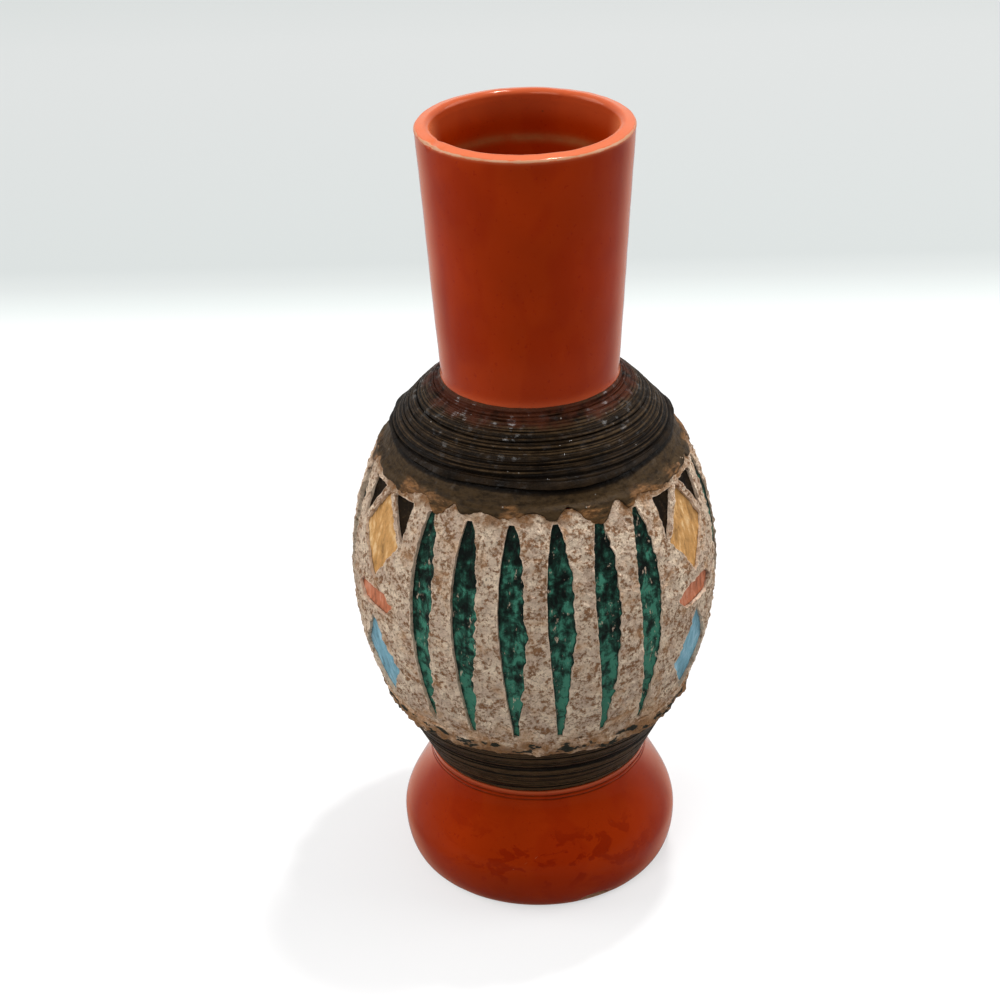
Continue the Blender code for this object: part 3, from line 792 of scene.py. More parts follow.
def dress_joints(sizes, colours):
    """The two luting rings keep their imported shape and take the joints' clay."""
    for node in ("foot_luting_ring", "neck_luting_ring"):
        finish_of(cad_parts[node], "luting_slip", shared(joint_clay, colours))


def comb_lines(length, count, seed, spread):
    """Places, widths, depths and wobbles of a comb's grooves along a length."""
    draw = np.random.default_rng(seed)
    places = (np.arange(count) + 0.5 + draw.uniform(-spread, spread, count)) * length / count
    return [(place, draw.uniform(0.10, 0.36) * MM, draw.uniform(0.25, 1.0), draw.uniform(0.0, math.tau),
             draw.uniform(0.10, 0.45) * MM) for place in places]


def combed(along, azimuth, lines, depth):
    """How far a combed coat stands out: grooves that drift a little round the vase."""
    out = np.zeros_like(along)
    for place, width, share, phase, drift in lines:
        wander = drift * (np.sin(azimuth + phase) + 0.5 * np.sin(3.0 * azimuth + 2.0 * phase))
        out += groove(along - place - wander, width, depth * share)
    return np.maximum(out, -1.3 * depth)


LIP_SWAY = 0.0012
LIP_SEED = 25


def build_shoulder(sizes, colours):
    """The combed slip from the ledge up to the neck, with a rounded, wandering lower lip."""
    rise = 0.0004
    low, high = LEDGE_TOP + GAP, station_at(-rise, NECK_BASE_RADIUS + 0.00005)
    stations = []
    h = low
    while h < high:
        stations.append(h)
        slope = float(belly_slope(h))
        h += 0.00013 / math.sqrt(1.0 + slope * slope)
    stations.append(high)
    stations = np.array(stations)
    outer = np.stack(belly_point(stations, -rise), 1)
    turned_under = ((0.0009, -0.0002), (0.0004, -0.0006), (0.0, -0.0006), (-0.0003, -0.0003))
    lip = [tuple(np.array(belly_point(low, depth)) + (0.0, drop)) for depth, drop in turned_under]
    inner_stations = np.linspace(station_at(COAT_THICKNESS, NECK_BASE_RADIUS + 0.00005), low, 24)
    inner = np.stack(belly_point(inner_stations, COAT_THICKNESS), 1)
    profile = np.r_[np.array(lip), outer, inner]
    climbed = np.cumsum(np.r_[0.0, np.linalg.norm(np.diff(outer, axis=0), axis=1)])
    length = climbed[-1]
    along = np.r_[np.zeros(len(lip)), climbed, np.zeros(len(inner))]
    skin = np.r_[np.zeros(len(lip)), np.ones(len(outer)), np.zeros(len(inner))]
    main = comb_lines(length, sizes.shoulder_combs, 21, 0.48)
    fine = comb_lines(length, 3 * sizes.shoulder_combs, 22, 0.45)

    def relief(points, rows):
        azimuth = azimuth_of(points)
        s = along[rows]
        deep = combed(s, azimuth, main, sizes.comb_depth)
        deep += combed(s, azimuth, fine, 0.35 * sizes.comb_depth)
        return deep * (smooth(0.0, 0.0012, s) * smooth(length, length - 0.0012, s))

    def push(points, rows):
        brim = 0.00062 * np.exp(-along[rows] / 0.0016) * (1.0 + grain(points, 0.012, 24, 2))
        rough = 0.0001 * grain(points, 0.0024, 23, 3)
        fillet = 0.0006 * np.exp(-(length - along[rows]) / 0.0006)
        return skin[rows] * (relief(points, rows) + rough + brim + fillet)

    def values(points, rows):
        top = np.clip(1.0 + relief(points, rows) / sizes.comb_depth * 2.2, 0.0, 1.0)
        # Near the lower lip the mask drops, so the lip loses its dust and is darkened as painted shade.
        return {"ridge_dust_and_painted_light": skin[rows] * top * (0.45 + 0.55 * smooth(0.0004, 0.0030, along[rows]))}

    piece = turn("combed_shoulder", profile, segments=360, push=push, values=values)
    sway_edge(piece, low + 0.0022, LIP_SWAY, LIP_SEED)
    finish_of(piece, "dark_slip", shared(dark_slip, colours))
    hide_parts("shoulder_combed_slip")


def sway(azimuth, amount, seed):
    """How far a wandering lower edge hangs at each azimuth, mostly downwards."""
    return -amount * (0.3 + 0.55 * np.sin(azimuth * 2.0 + 1.1) + 0.3 * np.sin(azimuth * 5.0 + seed))


def sway_edge(piece, top, amount, seed):
    """Lets the lower lip of a coat wander up and down over the surface that it lies on."""
    count = len(piece.data.vertices)
    points = np.empty(count * 3)
    piece.data.vertices.foreach_get("co", points)
    points = points.reshape(-1, 3)
    share = smooth(top, top - 0.0022, points[:, 2])
    drop = sway(azimuth_of(points), amount, seed) * share
    radius = radius_of(points)
    points[:, :2] *= ((radius + belly_slope(points[:, 2]) * drop) / radius)[:, None]
    points[:, 2] += drop
    piece.data.vertices.foreach_set("co", points.ravel())
    piece.data.update()


def build_waist(sizes, colours):
    """The turned slip band between the foot and the frieze."""
    low, high = cone_station(WAIST_SINK, FOOT_HEIGHT), WAIST_COAT_TOP + 0.0002
    stations = np.arange(low, high, 0.00016)
    outer = np.stack(belly_point(stations, WAIST_SINK), 1)
    inner_stations = np.linspace(high, cone_station(COAT_THICKNESS, FOOT_HEIGHT), 8)
    inner = np.stack(belly_point(inner_stations, COAT_THICKNESS), 1)
    profile = np.r_[outer, inner]
    skin = np.r_[np.ones(len(outer)), np.zeros(len(inner))]
    along = np.r_[stations - low, np.zeros(len(inner))]
    length = high - low
    main = comb_lines(length, sizes.waist_combs, 31, 0.3)
    fine = comb_lines(length, 3 * sizes.waist_combs, 32, 0.45)

    def relief(points, rows):
        azimuth = azimuth_of(points)
        s = along[rows]
        deep = combed(s, azimuth, main, 1.2 * sizes.comb_depth)
        deep += combed(s, azimuth, fine, 0.3 * sizes.comb_depth)
        return deep * smooth(0.0, 0.0008, s)

    def push(points, rows):
        edge = np.exp(-along[rows] / 0.0007)
        return skin[rows] * (relief(points, rows) + 0.00008 * grain(points, 0.002, 33, 3)
                             - 0.00025 * edge + 0.0002 * edge * grain(points, 0.004, 34, 2))

    def values(points, rows):
        top = np.clip(1.25 + relief(points, rows) / sizes.comb_depth * 2.4, 0.0, 1.15)
        # Painted shadow: the top of the waist, just under the hem, is darkened.
        painted_shadow_under_hem = 0.15 + 0.85 * smooth(length - 0.0004, length - 0.0018, along[rows])
        return {"ridge_dust_and_painted_light": skin[rows] * top * painted_shadow_under_hem}

    piece = turn("combed_waist", profile, segments=340, push=push, values=values)
    finish_of(piece, "dark_slip", shared(dark_slip, colours))
    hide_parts("waist_combed_slip")


def build_hem(sizes, colours):
    """The lumpy cream hem under the frieze, standing over the waist."""
    low, high = WAIST_COAT_TOP + 0.0001, HEM_TOP + 0.0016
    stations = np.linspace(low, high, 30)
    outer = np.stack(belly_point(stations, -0.0002), 1)
    inner = np.stack(belly_point(np.linspace(HEM_TOP, low, 6), COAT_THICKNESS), 1)
    profile = np.r_[outer, [belly_point(HEM_TOP + 0.0002, 0.0010)], inner]
    skin = np.r_[np.ones(len(outer)), np.zeros(len(inner) + 1)]
    share = np.r_[(stations - low) / (high - low), np.zeros(len(inner) + 1)]

    def push(points, rows):
        s = share[rows]
        body = smooth(0.0, 0.18, s) * smooth(1.0, 0.45, s)
        lumps = 0.5 + 0.8 * grain(points, 0.0044, 41, 3) + 0.4 * grain(points, 0.0015, 42, 2)
        swell = body * (0.00040 + sizes.hem_lumps * np.clip(lumps, 0.0, 1.6))
        return skin[rows] * (swell - 0.0004 * smooth(0.8, 1.0, s))

    def values(points, rows):
        s = share[rows]
        return {"blot": skin[rows] * bell(s - 0.50, 0.42, 8),
                # The hem's upper part takes a little of the cream's painted rim highlight.
                "edge": 0.25 * skin[rows] * smooth(0.3, 0.6, s)}

    piece = turn("frieze_hem_lumps", profile, segments=480, push=push, values=values)
    sway_edge(piece, low + 0.0014, 0.0007, 43)
    finish_of(piece, "cream_slip", shared(cream_slip, colours))
    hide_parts("frieze_hem")


def leaf_azimuths():
    return [panel * math.tau / PANEL_COUNT + (index - (LEAVES_PER_PANEL - 1) / 2.0) * LEAF_PITCH
            for panel in range(PANEL_COUNT) for index in range(LEAVES_PER_PANEL)]


def build_ledge(sizes, colours):
    """The smooth dark band under the shoulder; its torn edge runs down over the frieze between the ribs."""
    segments = 720
    azimuth = np.arange(segments) * math.tau / segments
    circle = round_points(azimuth, 0.045, 0.0)
    tongue = np.zeros(segments)
    draw = np.random.default_rng(57)
    for middle in leaf_azimuths():
        reach, width = draw.uniform(0.0004, 0.0046), math.radians(draw.uniform(2.6, 6.0))
        off = wrapped(azimuth - middle - math.radians(draw.uniform(-3.0, 3.0)))
        tongue = np.maximum(tongue, reach * bell(np.abs(off), width, 3))
    for post in range(PANEL_COUNT):
        off = wrapped(azimuth - (post + 0.5) * math.tau / PANEL_COUNT)
        tongue = np.maximum(tongue, 0.0018 * bell(off, math.radians(13.0), 4))
    ragged = 0.0011 * grain(circle, 0.008, 51, 3) + 0.0004 * grain(circle, 0.0018, 52, 3)
    bottom = FRIEZE_TOP - 0.0004 - tongue + ragged
    top = LEDGE_TOP + 0.0008
    shares = np.linspace(0.0, 1.0, 46)[:, None]
    height = top + (bottom[None, :] - top) * shares
    grid = round_points(azimuth[None, :], 0.046, height)
    over = smooth(FRIEZE_TOP + 0.0014, FRIEZE_TOP - 0.0004, height)
    depth = LEDGE_SINK - (LEDGE_SINK + 0.00042) * over
    depth -= 0.00016 * grain(grid, 0.005, 53, 3) + 0.00011 * grain(grid, 0.0015, 54, 3)
    left = (height - bottom[None, :]) / MM
    depth += 0.00052 * bell(left, 0.22)
    outer = np.stack(belly_point(height, depth), -1)
    back_heights = np.stack([bottom + 0.0001, np.maximum(bottom + 0.0006, FRIEZE_TOP - 0.0001),
                             np.full(segments, FRIEZE_TOP + GAP), np.full(segments, top)])
    back_depths = np.array([[0.0003], [0.0003], [COAT_THICKNESS], [COAT_THICKNESS]])
    inner = np.stack(belly_point(back_heights, np.broadcast_to(back_depths, back_heights.shape)), -1)
    rings = np.concatenate([outer, inner])
    points = round_points(azimuth[None, :], rings[..., 0], rings[..., 1])
    count = len(rings)
    faces, uvs = [], []
    for i in range(count):
        above = (i + 1) % count
        for j in range(segments):
            beside = (j + 1) % segments
            faces.append((i * segments + beside, i * segments + j,
                          above * segments + j, above * segments + beside))
            left_u, right_u = j / segments, (j + 1) / segments
            uvs += [(right_u, i / count), (left_u, i / count),
                    (left_u, (i + 1) / count), (right_u, (i + 1) / count)]
    stain = np.zeros((count, segments))
    washed = 0.35 + 0.65 * smooth(-0.35, 0.25, grain(grid, 0.014, 55, 2))
    stain[:len(outer)] = smooth(FRIEZE_TOP + 0.0042, FRIEZE_TOP - 0.0004, height) * washed
    ridge_dust_and_painted_light = np.zeros((count, segments))
    # Painted shadow: the band just under the shoulder's lip is darkened through the dark slip's mask.
    lip = LEDGE_TOP + GAP - 0.0006 + sway(azimuth, LIP_SWAY, LIP_SEED)
    ridge_dust_and_painted_light[:len(outer)] = smooth(0.1, 1.3, (lip - height) / MM)
    piece = finish_mesh("ledge_band_torn", points.reshape(-1, 3), faces, 40.0, uvs,
                        {"stain": stain, "ridge_dust_and_painted_light": ridge_dust_and_painted_light})
    finish_of(piece, "dark_slip", shared(dark_slip, colours))
    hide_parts("ledge_band")


# The frieze, laid out flat as (round, up): round is azimuth times the belly's widest radius

def laid_flat(outline, azimuth):
    """A motif's outline, given across the tangent at its azimuth, on the flat layout."""
    outline = np.asarray(outline, float)
    turn_by = np.arcsin(outline[:, 0] / belly_radius(outline[:, 1]))
    return np.stack([BELLY_RADIUS * (azimuth + turn_by), outline[:, 1]], 1)


def evenly(outline, step):
    """The points of a closed outline, spaced evenly along it."""
    closed = np.r_[outline, outline[:1]]
    along = np.r_[0.0, np.cumsum(np.linalg.norm(np.diff(closed, axis=0), axis=1))]
    count = max(8, round(along[-1] / step))
    at = np.arange(count) * along[-1] / count
    return np.stack([np.interp(at, along, closed[:, k]) for k in (0, 1)], 1)


def offset_line(outline, amount):
    """A closed outline that runs anticlockwise, moved outwards by an amount."""
    along = np.roll(outline, -1, 0) - np.roll(outline, 1, 0)
    along /= np.linalg.norm(along, axis=1)[:, None]
    return outline + np.stack([along[:, 1], -along[:, 0]], 1) * np.reshape(amount, (-1, 1))


def torn(outline, seed, wobble, lobed):
    """An outline with the wavering edge of a hand-cut shape; a lobed one is ragged on its right side."""
    where = np.c_[outline, np.full(len(outline), seed * 0.01)]
    amount = grain(where, 0.005, 61, 2) + 0.45 * grain(where, 0.0014, 62, 2)
    if lobed:
        right = smooth(0.0, 0.002, outline[:, 0] - outline[:, 0].mean())
        lobes = np.abs(grain(where, 0.0056, 63, 1)) * 3.4 + 0.9 * grain(where, 0.0018, 64, 2) + 0.3
        amount = amount * (0.35 + 0.65 * right) + lobes * right
    ends = (outline[:, 1] - outline[:, 1].min()) * (outline[:, 1].max() - outline[:, 1])
    return offset_line(outline, wobble * amount * (0.35 + 0.65 * smooth(0.0, 0.0002, ends)))


def leaf_outline():
    lean = math.log(0.5) / math.log(LEAF_WIDEST_SHARE)
    bottom, top = HEM_TOP + LEAF_MARGIN, FRIEZE_TOP - LEAF_MARGIN
    share = np.linspace(0.0, 1.0, 60)
    swell = np.abs(np.sin(math.pi * share ** lean)) ** LEAF_FULLNESS
    half = LEAF_TIP_HALF_WIDTH + (LEAF_HALF_WIDTH - LEAF_TIP_HALF_WIDTH) * swell
    height = bottom + (top - bottom) * share
    return np.r_[np.stack([half, height], 1), np.stack([-half[::-1], height[::-1]], 1)]


def lozenge_outline(bottom, top):
    middle = (bottom + top) / 2.0
    return [(0.0, bottom), (POST_HALF_WIDTH, middle), (0.0, top), (-POST_HALF_WIDTH, middle)]


def bar_outline(bottom, top):
    middle = (bottom + top) / 2.0
    shoulder = POST_HALF_WIDTH - BAR_END_LENGTH
    return [(-shoulder, bottom), (shoulder, bottom), (POST_HALF_WIDTH, middle), (shoulder, top),
            (-shoulder, top), (-POST_HALF_WIDTH, middle)]


def corner_outline(top, side):
    right = [(CORNER_REACH, top - CORNER_HEIGHT), (CORNER_REACH, top), (CORNER_REACH - CORNER_WIDTH, top)]
    return right if side > 0 else [(-across, height) for across, height in reversed(right)]


def motifs(sizes):
    """Every inlay as (node, flat outline, finish)."""
    found = []
    for number, azimuth in enumerate(leaf_azimuths(), 1):
        found.append((f"green_leaf_{number:02d}", laid_flat(leaf_outline(), azimuth), "green"))
    top = FRIEZE_TOP - POST_MARGIN
    bar_top = top - YELLOW_LOZENGE_HEIGHT - POST_GAP
    blue_bottom = HEM_TOP + POST_MARGIN
    for tag in range(1, PANEL_COUNT + 1):
        azimuth = (tag - 0.5) * math.tau / PANEL_COUNT
        rows = [
            (f"yellow_lozenge_{tag}", lozenge_outline(top - YELLOW_LOZENGE_HEIGHT, top), "yellow"),
            (f"terracotta_bar_{tag}", bar_outline(bar_top - BAR_HEIGHT, bar_top), "terracotta"),
            (f"blue_lozenge_{tag}", lozenge_outline(blue_bottom, bar_top - BAR_HEIGHT - POST_GAP), "blue"),
            (f"black_corner_{tag}_right", corner_outline(top, 1), "black"),
            (f"black_corner_{tag}_left", corner_outline(top, -1), "black"),
        ]
        for node, outline, finish in rows:
            dense = evenly(np.array(outline, float), 0.0012)
            found.append((node, laid_flat(dense, azimuth), finish))
    return [(node, torn(evenly(outline, 0.00048), seed, sizes.edge_wobble, finish == "green"), finish)
            for seed, (node, outline, finish) in enumerate(found)]


def inside(points, outline):
    """Which points lie within a closed outline."""
    x, y = points[:, 0], points[:, 1]
    found = np.zeros(len(points), bool)
    for (x0, y0), (x1, y1) in zip(outline, np.roll(outline, -1, 0)):
        crosses = (y0 > y) != (y1 > y)
        if y1 != y0:
            found ^= crosses & (x < (x1 - x0) * (y - y0) / (y1 - y0) + x0)
    return found


def tree_of(points):
    tree = KDTree(len(points))
    for index, (x, y) in enumerate(points.tolist()):
        tree.insert((x, y, 0.0), index)
    tree.balance()
    return tree


def nearest(tree, points):
    return np.array([tree.find((x, y, 0.0))[2] for x, y in points.tolist()])


def scatter(low, high, step, seed):
    """Points in rows over a rectangle, each moved a little at random."""
    draw = np.random.default_rng(seed)
    x = np.arange(low[0] + step / 2, high[0], step)
    y = np.arange(low[1] + step / 2, high[1], step * 0.87)
    grid = np.stack(np.meshgrid(x, y), -1)
    grid[1::2, :, 0] += step / 2
    grid = grid.reshape(-1, 2)
    return grid + draw.uniform(-0.22, 0.22, grid.shape) * step


def fill(loops, spots):
    """Triangles over the first loop, less the loops after it; the loops' points come first and in order."""
    ring = np.concatenate(loops)
    edges, start = [], 0
    for loop in loops:
        count = len(loop)
        edges += [(start + k, start + (k + 1) % count) for k in range(count)]
        start += count
    given = np.concatenate([ring, spots]) if len(spots) else ring
    scale = 1.0 / MM
    result = delaunay_2d_cdt([Vector(p) for p in (given * scale).tolist()], edges, [], 1, 1e-7)
    points = np.array([tuple(p) for p in result[0]]) / scale
    order = np.full(len(given), -1)
    for index, sources in enumerate(result[3]):
        for source in sources:
            order[source] = index
    faces = np.array(result[2])
    middles = points[faces].mean(1)
    keep = np.ones(len(faces), bool)
    for loop in loops[1:]:
        near = (middles >= loop.min(0)).all(1) & (middles <= loop.max(0)).all(1)
        index = np.nonzero(near & keep)[0]
        keep[index[inside(middles[index], loop)]] = False
    faces = faces[keep]
    a, b, c = (points[faces[:, k]] for k in range(3))
    flipped = np.cross(b - a, c - a) < 0
    faces[flipped] = faces[flipped][:, ::-1]
    return points, faces, order


def raised(flat, depth):
    """Points of the flat layout wrapped on the belly at their depths."""
    radius, height = belly_point(flat[:, 1], depth)
    return round_points(flat[:, 0] / BELLY_RADIUS, radius, height)


def slab(loops, spots, coarse, depth_of, edge_of):
    """Points, faces and edge values of a closed slab of coat: a front, a back and the walls between."""
    front, front_faces, order = fill(loops, spots)
    back, back_faces, back_order = fill(loops, coarse)
    count = len(front)
    behind = raised(back, np.full(len(back), COAT_THICKNESS))
    points = np.concatenate([raised(front, depth_of(front)), behind])
    faces = front_faces.tolist() + (back_faces[:, ::-1] + count).tolist()
    start = 0
    for loop in loops:
        total = len(loop)
        for k in range(total):
            a, b = order[start + k], order[start + (k + 1) % total]
            c, d = back_order[start + (k + 1) % total] + count, back_order[start + k] + count
            faces.append((int(d), int(c), int(b), int(a)))
        start += total
    values = np.concatenate([edge_of(front), np.ones(len(back))])
    return points, faces, values


def sector(number, shapes, sizes):
    """One third of the cream ground, between two upright seams, with its motifs cut out."""
    start = BELLY_RADIUS * (SEAM_AZIMUTH + (number - 1) * math.tau / PANEL_COUNT)
    end = start + BELLY_RADIUS * math.tau / PANEL_COUNT
    low, high = HEM_TOP + GAP, FRIEZE_TOP
    across = round((end - start) / 0.0006)
    upright = round((high - low) / 0.0006)
    xs, ys = np.linspace(start, end, across + 1), np.linspace(low, high, upright + 1)
    border = [(x, low) for x in xs[:-1]] + [(end, y) for y in ys[:-1]]
    border += [(x, high) for x in xs[:0:-1]] + [(start, y) for y in ys[:0:-1]]
    border = np.array(border)
    holes = []
    whole = BELLY_RADIUS * math.tau
    for _, outline, _ in shapes:
        middle = outline[:, 0].mean()
        moved = outline + np.array([whole * math.floor((end - middle) / whole), 0.0])
        if start < moved[:, 0].mean() < end:
            holes.append(moved)
    lines = tree_of(np.concatenate(holes))
    every = tree_of(np.concatenate([border] + holes))
    spots = scatter((start, low), (end, high), sizes.ground_step, 70 + number)
    spots = spots[nearest(every, spots) > 0.6 * sizes.ground_step]
    coarse = scatter((start, low), (end, high), 0.0030, 80 + number)
    coarse = coarse[nearest(every, coarse) > 0.0012]
    for hole in holes:
        spots = spots[~inside(spots, hole)]
        coarse = coarse[~inside(coarse, hole)]

    def depth_of(flat):
        where = raised(flat, np.zeros(len(flat)))
        far = nearest(lines, flat)
        burr = 0.00016 * bell(far, 0.0005) * (1.0 + grain(where, 0.003, 71, 2))
        lumps = 0.55 * grain(where, 0.0036, 72, 3) + 0.78 * grain(where, 0.0015, 73, 2)
        return -(sizes.ground_relief * lumps + burr)

    def edge_of(flat):
        # Nearness to a cut, which the cream paints as a highlight.
        return np.exp(-nearest(lines, flat) / 0.0006)

    return slab([border] + holes, spots, coarse, depth_of, edge_of)


def build_ground(sizes, colours):
    """The rough cream ground with the motifs cut through it, in three sectors joined at upright seams."""
    shapes = motifs(sizes)
    points, faces, values = [], [], []
    total = 0
    for number in range(PANEL_COUNT):
        part = sector(number, shapes, sizes)
        points.append(part[0])
        values.append(part[2])
        faces += [tuple(int(k) + total for k in face) for face in part[1]]
        total += len(part[0])
    points, values = np.concatenate(points), np.concatenate(values)
    places = {}
    fresh = np.empty(len(points), int)
    kept = []
    for index, key in enumerate(np.round(points * 1e6).astype(int).tolist()):
        key = tuple(key)
        if key not in places:
            places[key] = len(kept)
            kept.append(index)
        fresh[index] = places[key]
    faces = [tuple(int(fresh[k]) for k in face) for face in faces]
    seams = set(seam_points(points[kept]))
    faces = [face for face in faces if not (len(face) == 4 and set(face) <= seams)]
    piece = finish_mesh("cream_ground", points[kept], faces, 42.0, None, {"edge": values[kept]})
    finish_of(piece, "cream_slip", shared(cream_slip, colours))
    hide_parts("frieze_ground")


def seam_points(points):
    """Indices of the points that lie on the upright seams between the sectors."""
    azimuth = azimuth_of(points)
    for number in range(PANEL_COUNT):
        off = wrapped(azimuth - (SEAM_AZIMUTH + number * math.tau / PANEL_COUNT))
        yield from np.nonzero(np.abs(off) < 1e-6)[0].tolist()


NO_SPOTS = np.zeros((0, 2))


def build_inlays(sizes, colours):
    """The recessed inlays, each in its own cut: leaves, lozenges, bars and corners."""
    finishes = {
        "green": ("green_glaze", shared(green_glaze, colours)),
        "yellow": ("yellow_slip", shared(brushed_slip, colours, "yellow_slip", tuple(colours.yellow_slip),
                                         (0.15, 0.065, 0.02), (0.78, 0.54, 0.28))),
        "terracotta": ("terracotta_slip", shared(brushed_slip, colours, "terracotta_slip",
                                                 tuple(colours.terracotta_slip), (0.09, 0.03, 0.015),
                                                 (0.66, 0.32, 0.21))),
        "blue": ("blue_slip", shared(brushed_slip, colours, "blue_slip", tuple(colours.blue_slip),
                                     (0.05, 0.075, 0.07), (0.36, 0.56, 0.66))),
        "black": ("dark_slip", shared(dark_slip, colours, "black_brushed_slip", True)),
    }
    for seed, (node, outline, finish) in enumerate(motifs(sizes)):
        edge = offset_line(outline, -0.00006)
        lines = tree_of(edge)
        low, high = edge.min(0), edge.max(0)
        spots = scatter(low, high, 0.00055, 200 + seed)
        spots = spots[inside(spots, edge)]
        spots = spots[nearest(lines, spots) > 0.0003]
        brush = finish != "green"
        middle = edge[:, 0].mean()

        def depth_of(flat):
            where = raised(flat, np.zeros(len(flat)))
            far = nearest(lines, flat)
            bowl = sizes.inlay_recess + sizes.inlay_dish * smooth(0.0, 0.0030, far)
            if not brush:
                bowl -= 0.00036 * np.clip((flat[:, 0] - middle) / LEAF_HALF_WIDTH, -1.0, 1.2)
            bank = 0.00028 * np.exp(-far / 0.00035)
            stretch = where * np.array([1.0, 1.0, 0.25 if brush else 0.7])
            rough = 0.00010 * grain(stretch, 0.0014, 91, 3) + 0.00008 * grain(where, 0.004, 92, 2)
            return bowl - bank - rough

        def edge_of(flat):
            # On a leaf the edge mask reaches further on its left side, where its painted shade is wider.
            reach = 0.0007 if brush else 0.0004 + 0.0010 * smooth(0.0004, -0.0006, flat[:, 0] - middle)
            return np.exp(-nearest(lines, flat) / reach)

        points, faces, values = slab([edge], spots, NO_SPOTS, depth_of, edge_of)
        piece = finish_mesh(node + "_inlay", points, faces, 42.0, None,
                            {"edge": values, "ridge_dust_and_painted_light": np.full(len(points), 0.45)})
        finish_of(piece, *finishes[finish])
        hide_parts(node)


# Stage

FAR_SHEET = (0.54, 0.61, 0.59)
LAMP_AIM = Vector((0.0, 0.0, 0.12))


def build_stage(stage):
    """A pale round table top, soft lamps, a pale room and the camera at the photograph's angle."""
    rings, segments = 24, 96
    radii = stage.floor_radius * (np.arange(rings + 1) / rings)
    azimuth = np.arange(segments) * math.tau / segments
    points = [(0.0, 0.0, 0.0)] + round_points(azimuth[None, :], radii[1:, None], 0.0).reshape(-1, 3).tolist()
    faces = [(0, 1 + j, 1 + (j + 1) % segments) for j in range(segments)]
    for i in range(rings - 1):
        for j in range(segments):
            a, b = 1 + i * segments + j, 1 + i * segments + (j + 1) % segments
            faces.append((a, a + segments, b + segments, b))
    mesh = bpy.data.meshes.new("table_top")
    mesh.from_pydata(points, [], faces)
    mesh.update()
    floor = bpy.data.objects.new("table_top", mesh)
    bpy.context.scene.collection.objects.link(floor)
    material, tree, shader = new_finish("table_white")
    surface(tree, shader, (*[stage.floor_albedo] * 3, 1.0), 0.9, 0.0)
    where = add(tree, "TexCoord").outputs["Object"]
    back = add(tree, "SeparateXYZ", Vector=where).outputs["Y"]
    sheet = ramp(tree, back, (0.392, (1.0, 1.0, 1.0)), (0.428, (0.64, 0.73, 0.70)),
                 (0.4527, (0.44, 0.51, 0.49)), (0.478, (0.325, 0.395, 0.38)), (0.85, (0.57, 0.60, 0.59)))
    away = add(tree, "VectorMath", {"operation": "LENGTH"})
    put(tree, away, 0, where)
    sheet = blend(tree, level(tree, 0.70, 1.25, value=away.outputs["Value"]), sheet, FAR_SHEET)
    rays = add(tree, "LightPath").outputs["Is Camera Ray"]
    glow = add(tree, "Emission", Color=sheet, Strength=times(tree, rays, stage.floor_glow))
    both = add(tree, "AddShader")
    put(tree, both, 0, shader.outputs[0])
    put(tree, both, 1, glow.outputs[0])
    put(tree, tree.nodes["Material Output"], "Surface", both.outputs[0])
    mesh.materials.append(material)
    build_world(stage)
    build_lamps(stage)
    build_camera()


def build_world(stage):
    """A pale room: even light, a little dimmer in front, and a pale grey-blue wall for the camera."""
    world = bpy.data.worlds.new("pale_room")
    bpy.context.scene.world = world
    world.use_nodes = True
    tree = world.node_tree
    back = tree.nodes["Background"]
    where = add(tree, "TexCoord").outputs["Generated"]
    parts = add(tree, "SeparateXYZ", Vector=where)
    front = level(tree, -0.9, 0.5, stage.room_front, stage.room_light, parts.outputs["Y"])
    up = level(tree, 0.1, 0.95, 0.85, 1.2, parts.outputs["Z"])
    light = times(tree, front, up)
    rays = add(tree, "LightPath").outputs["Is Camera Ray"]
    grey = add(tree, "CombineColor", Red=light, Green=light, Blue=light).outputs[0]
    put(tree, back, "Color", blend(tree, rays, grey, tuple(stage.wall_colour)))
    put(tree, back, "Strength", 1.0)


def build_lamps(stage):
    """Area lamps: a small one overhead that gives the glints, and wide soft ones to both sides."""
    for name, place_at, size, power in (
            ("overhead", (0.24, 0.22, 1.40), 0.07, stage.overhead_power),
            ("soft_front", (-0.45, -0.85, 1.05), 0.60, stage.front_power),
            ("soft_left", (-1.10, 0.10, 0.85), 0.80, stage.side_power),
            ("soft_right", (1.10, 0.10, 0.85), 0.80, stage.side_power)):
        data = bpy.data.lights.new(name, "AREA")
        data.shape = "SQUARE"
        data.size = size
        data.energy = power
        lamp = bpy.data.objects.new(name, data)
        bpy.context.scene.collection.objects.link(lamp)
        lamp.location = place_at
        lamp.rotation_mode = "QUATERNION"
        lamp.rotation_quaternion = (LAMP_AIM - Vector(place_at)).to_track_quat("-Z", "Y")


CAMERA_PLACE = (0.0, -0.600, 0.44858)
CAMERA_PITCH = 0.4987
CAMERA_YAW = -0.0164
CAMERA_ROLL = -0.0299
CAMERA_LENS = 82.38


def build_camera():
    """The camera at the photograph's place, pitch, yaw and roll."""
    forward = Vector((math.sin(CAMERA_YAW) * math.cos(CAMERA_PITCH),
                      math.cos(CAMERA_YAW) * math.cos(CAMERA_PITCH), -math.sin(CAMERA_PITCH)))
    level_right = Vector((math.cos(CAMERA_YAW), -math.sin(CAMERA_YAW), 0.0))
    above = level_right.cross(forward)
    right = math.cos(CAMERA_ROLL) * level_right + math.sin(CAMERA_ROLL) * above
    up = -math.sin(CAMERA_ROLL) * level_right + math.cos(CAMERA_ROLL) * above
    data = bpy.data.cameras.new("photo_camera")
    data.sensor_width = 36.0
    data.lens = CAMERA_LENS
    data.clip_start = 0.01
    camera = bpy.data.objects.new("photo_camera", data)
    bpy.context.scene.collection.objects.link(camera)
    turned = Matrix((right, up, -forward)).transposed().to_4x4()
    camera.matrix_world = Matrix.Translation(CAMERA_PLACE) @ turned
    bpy.context.scene.camera = camera


# Properties, operators and panel

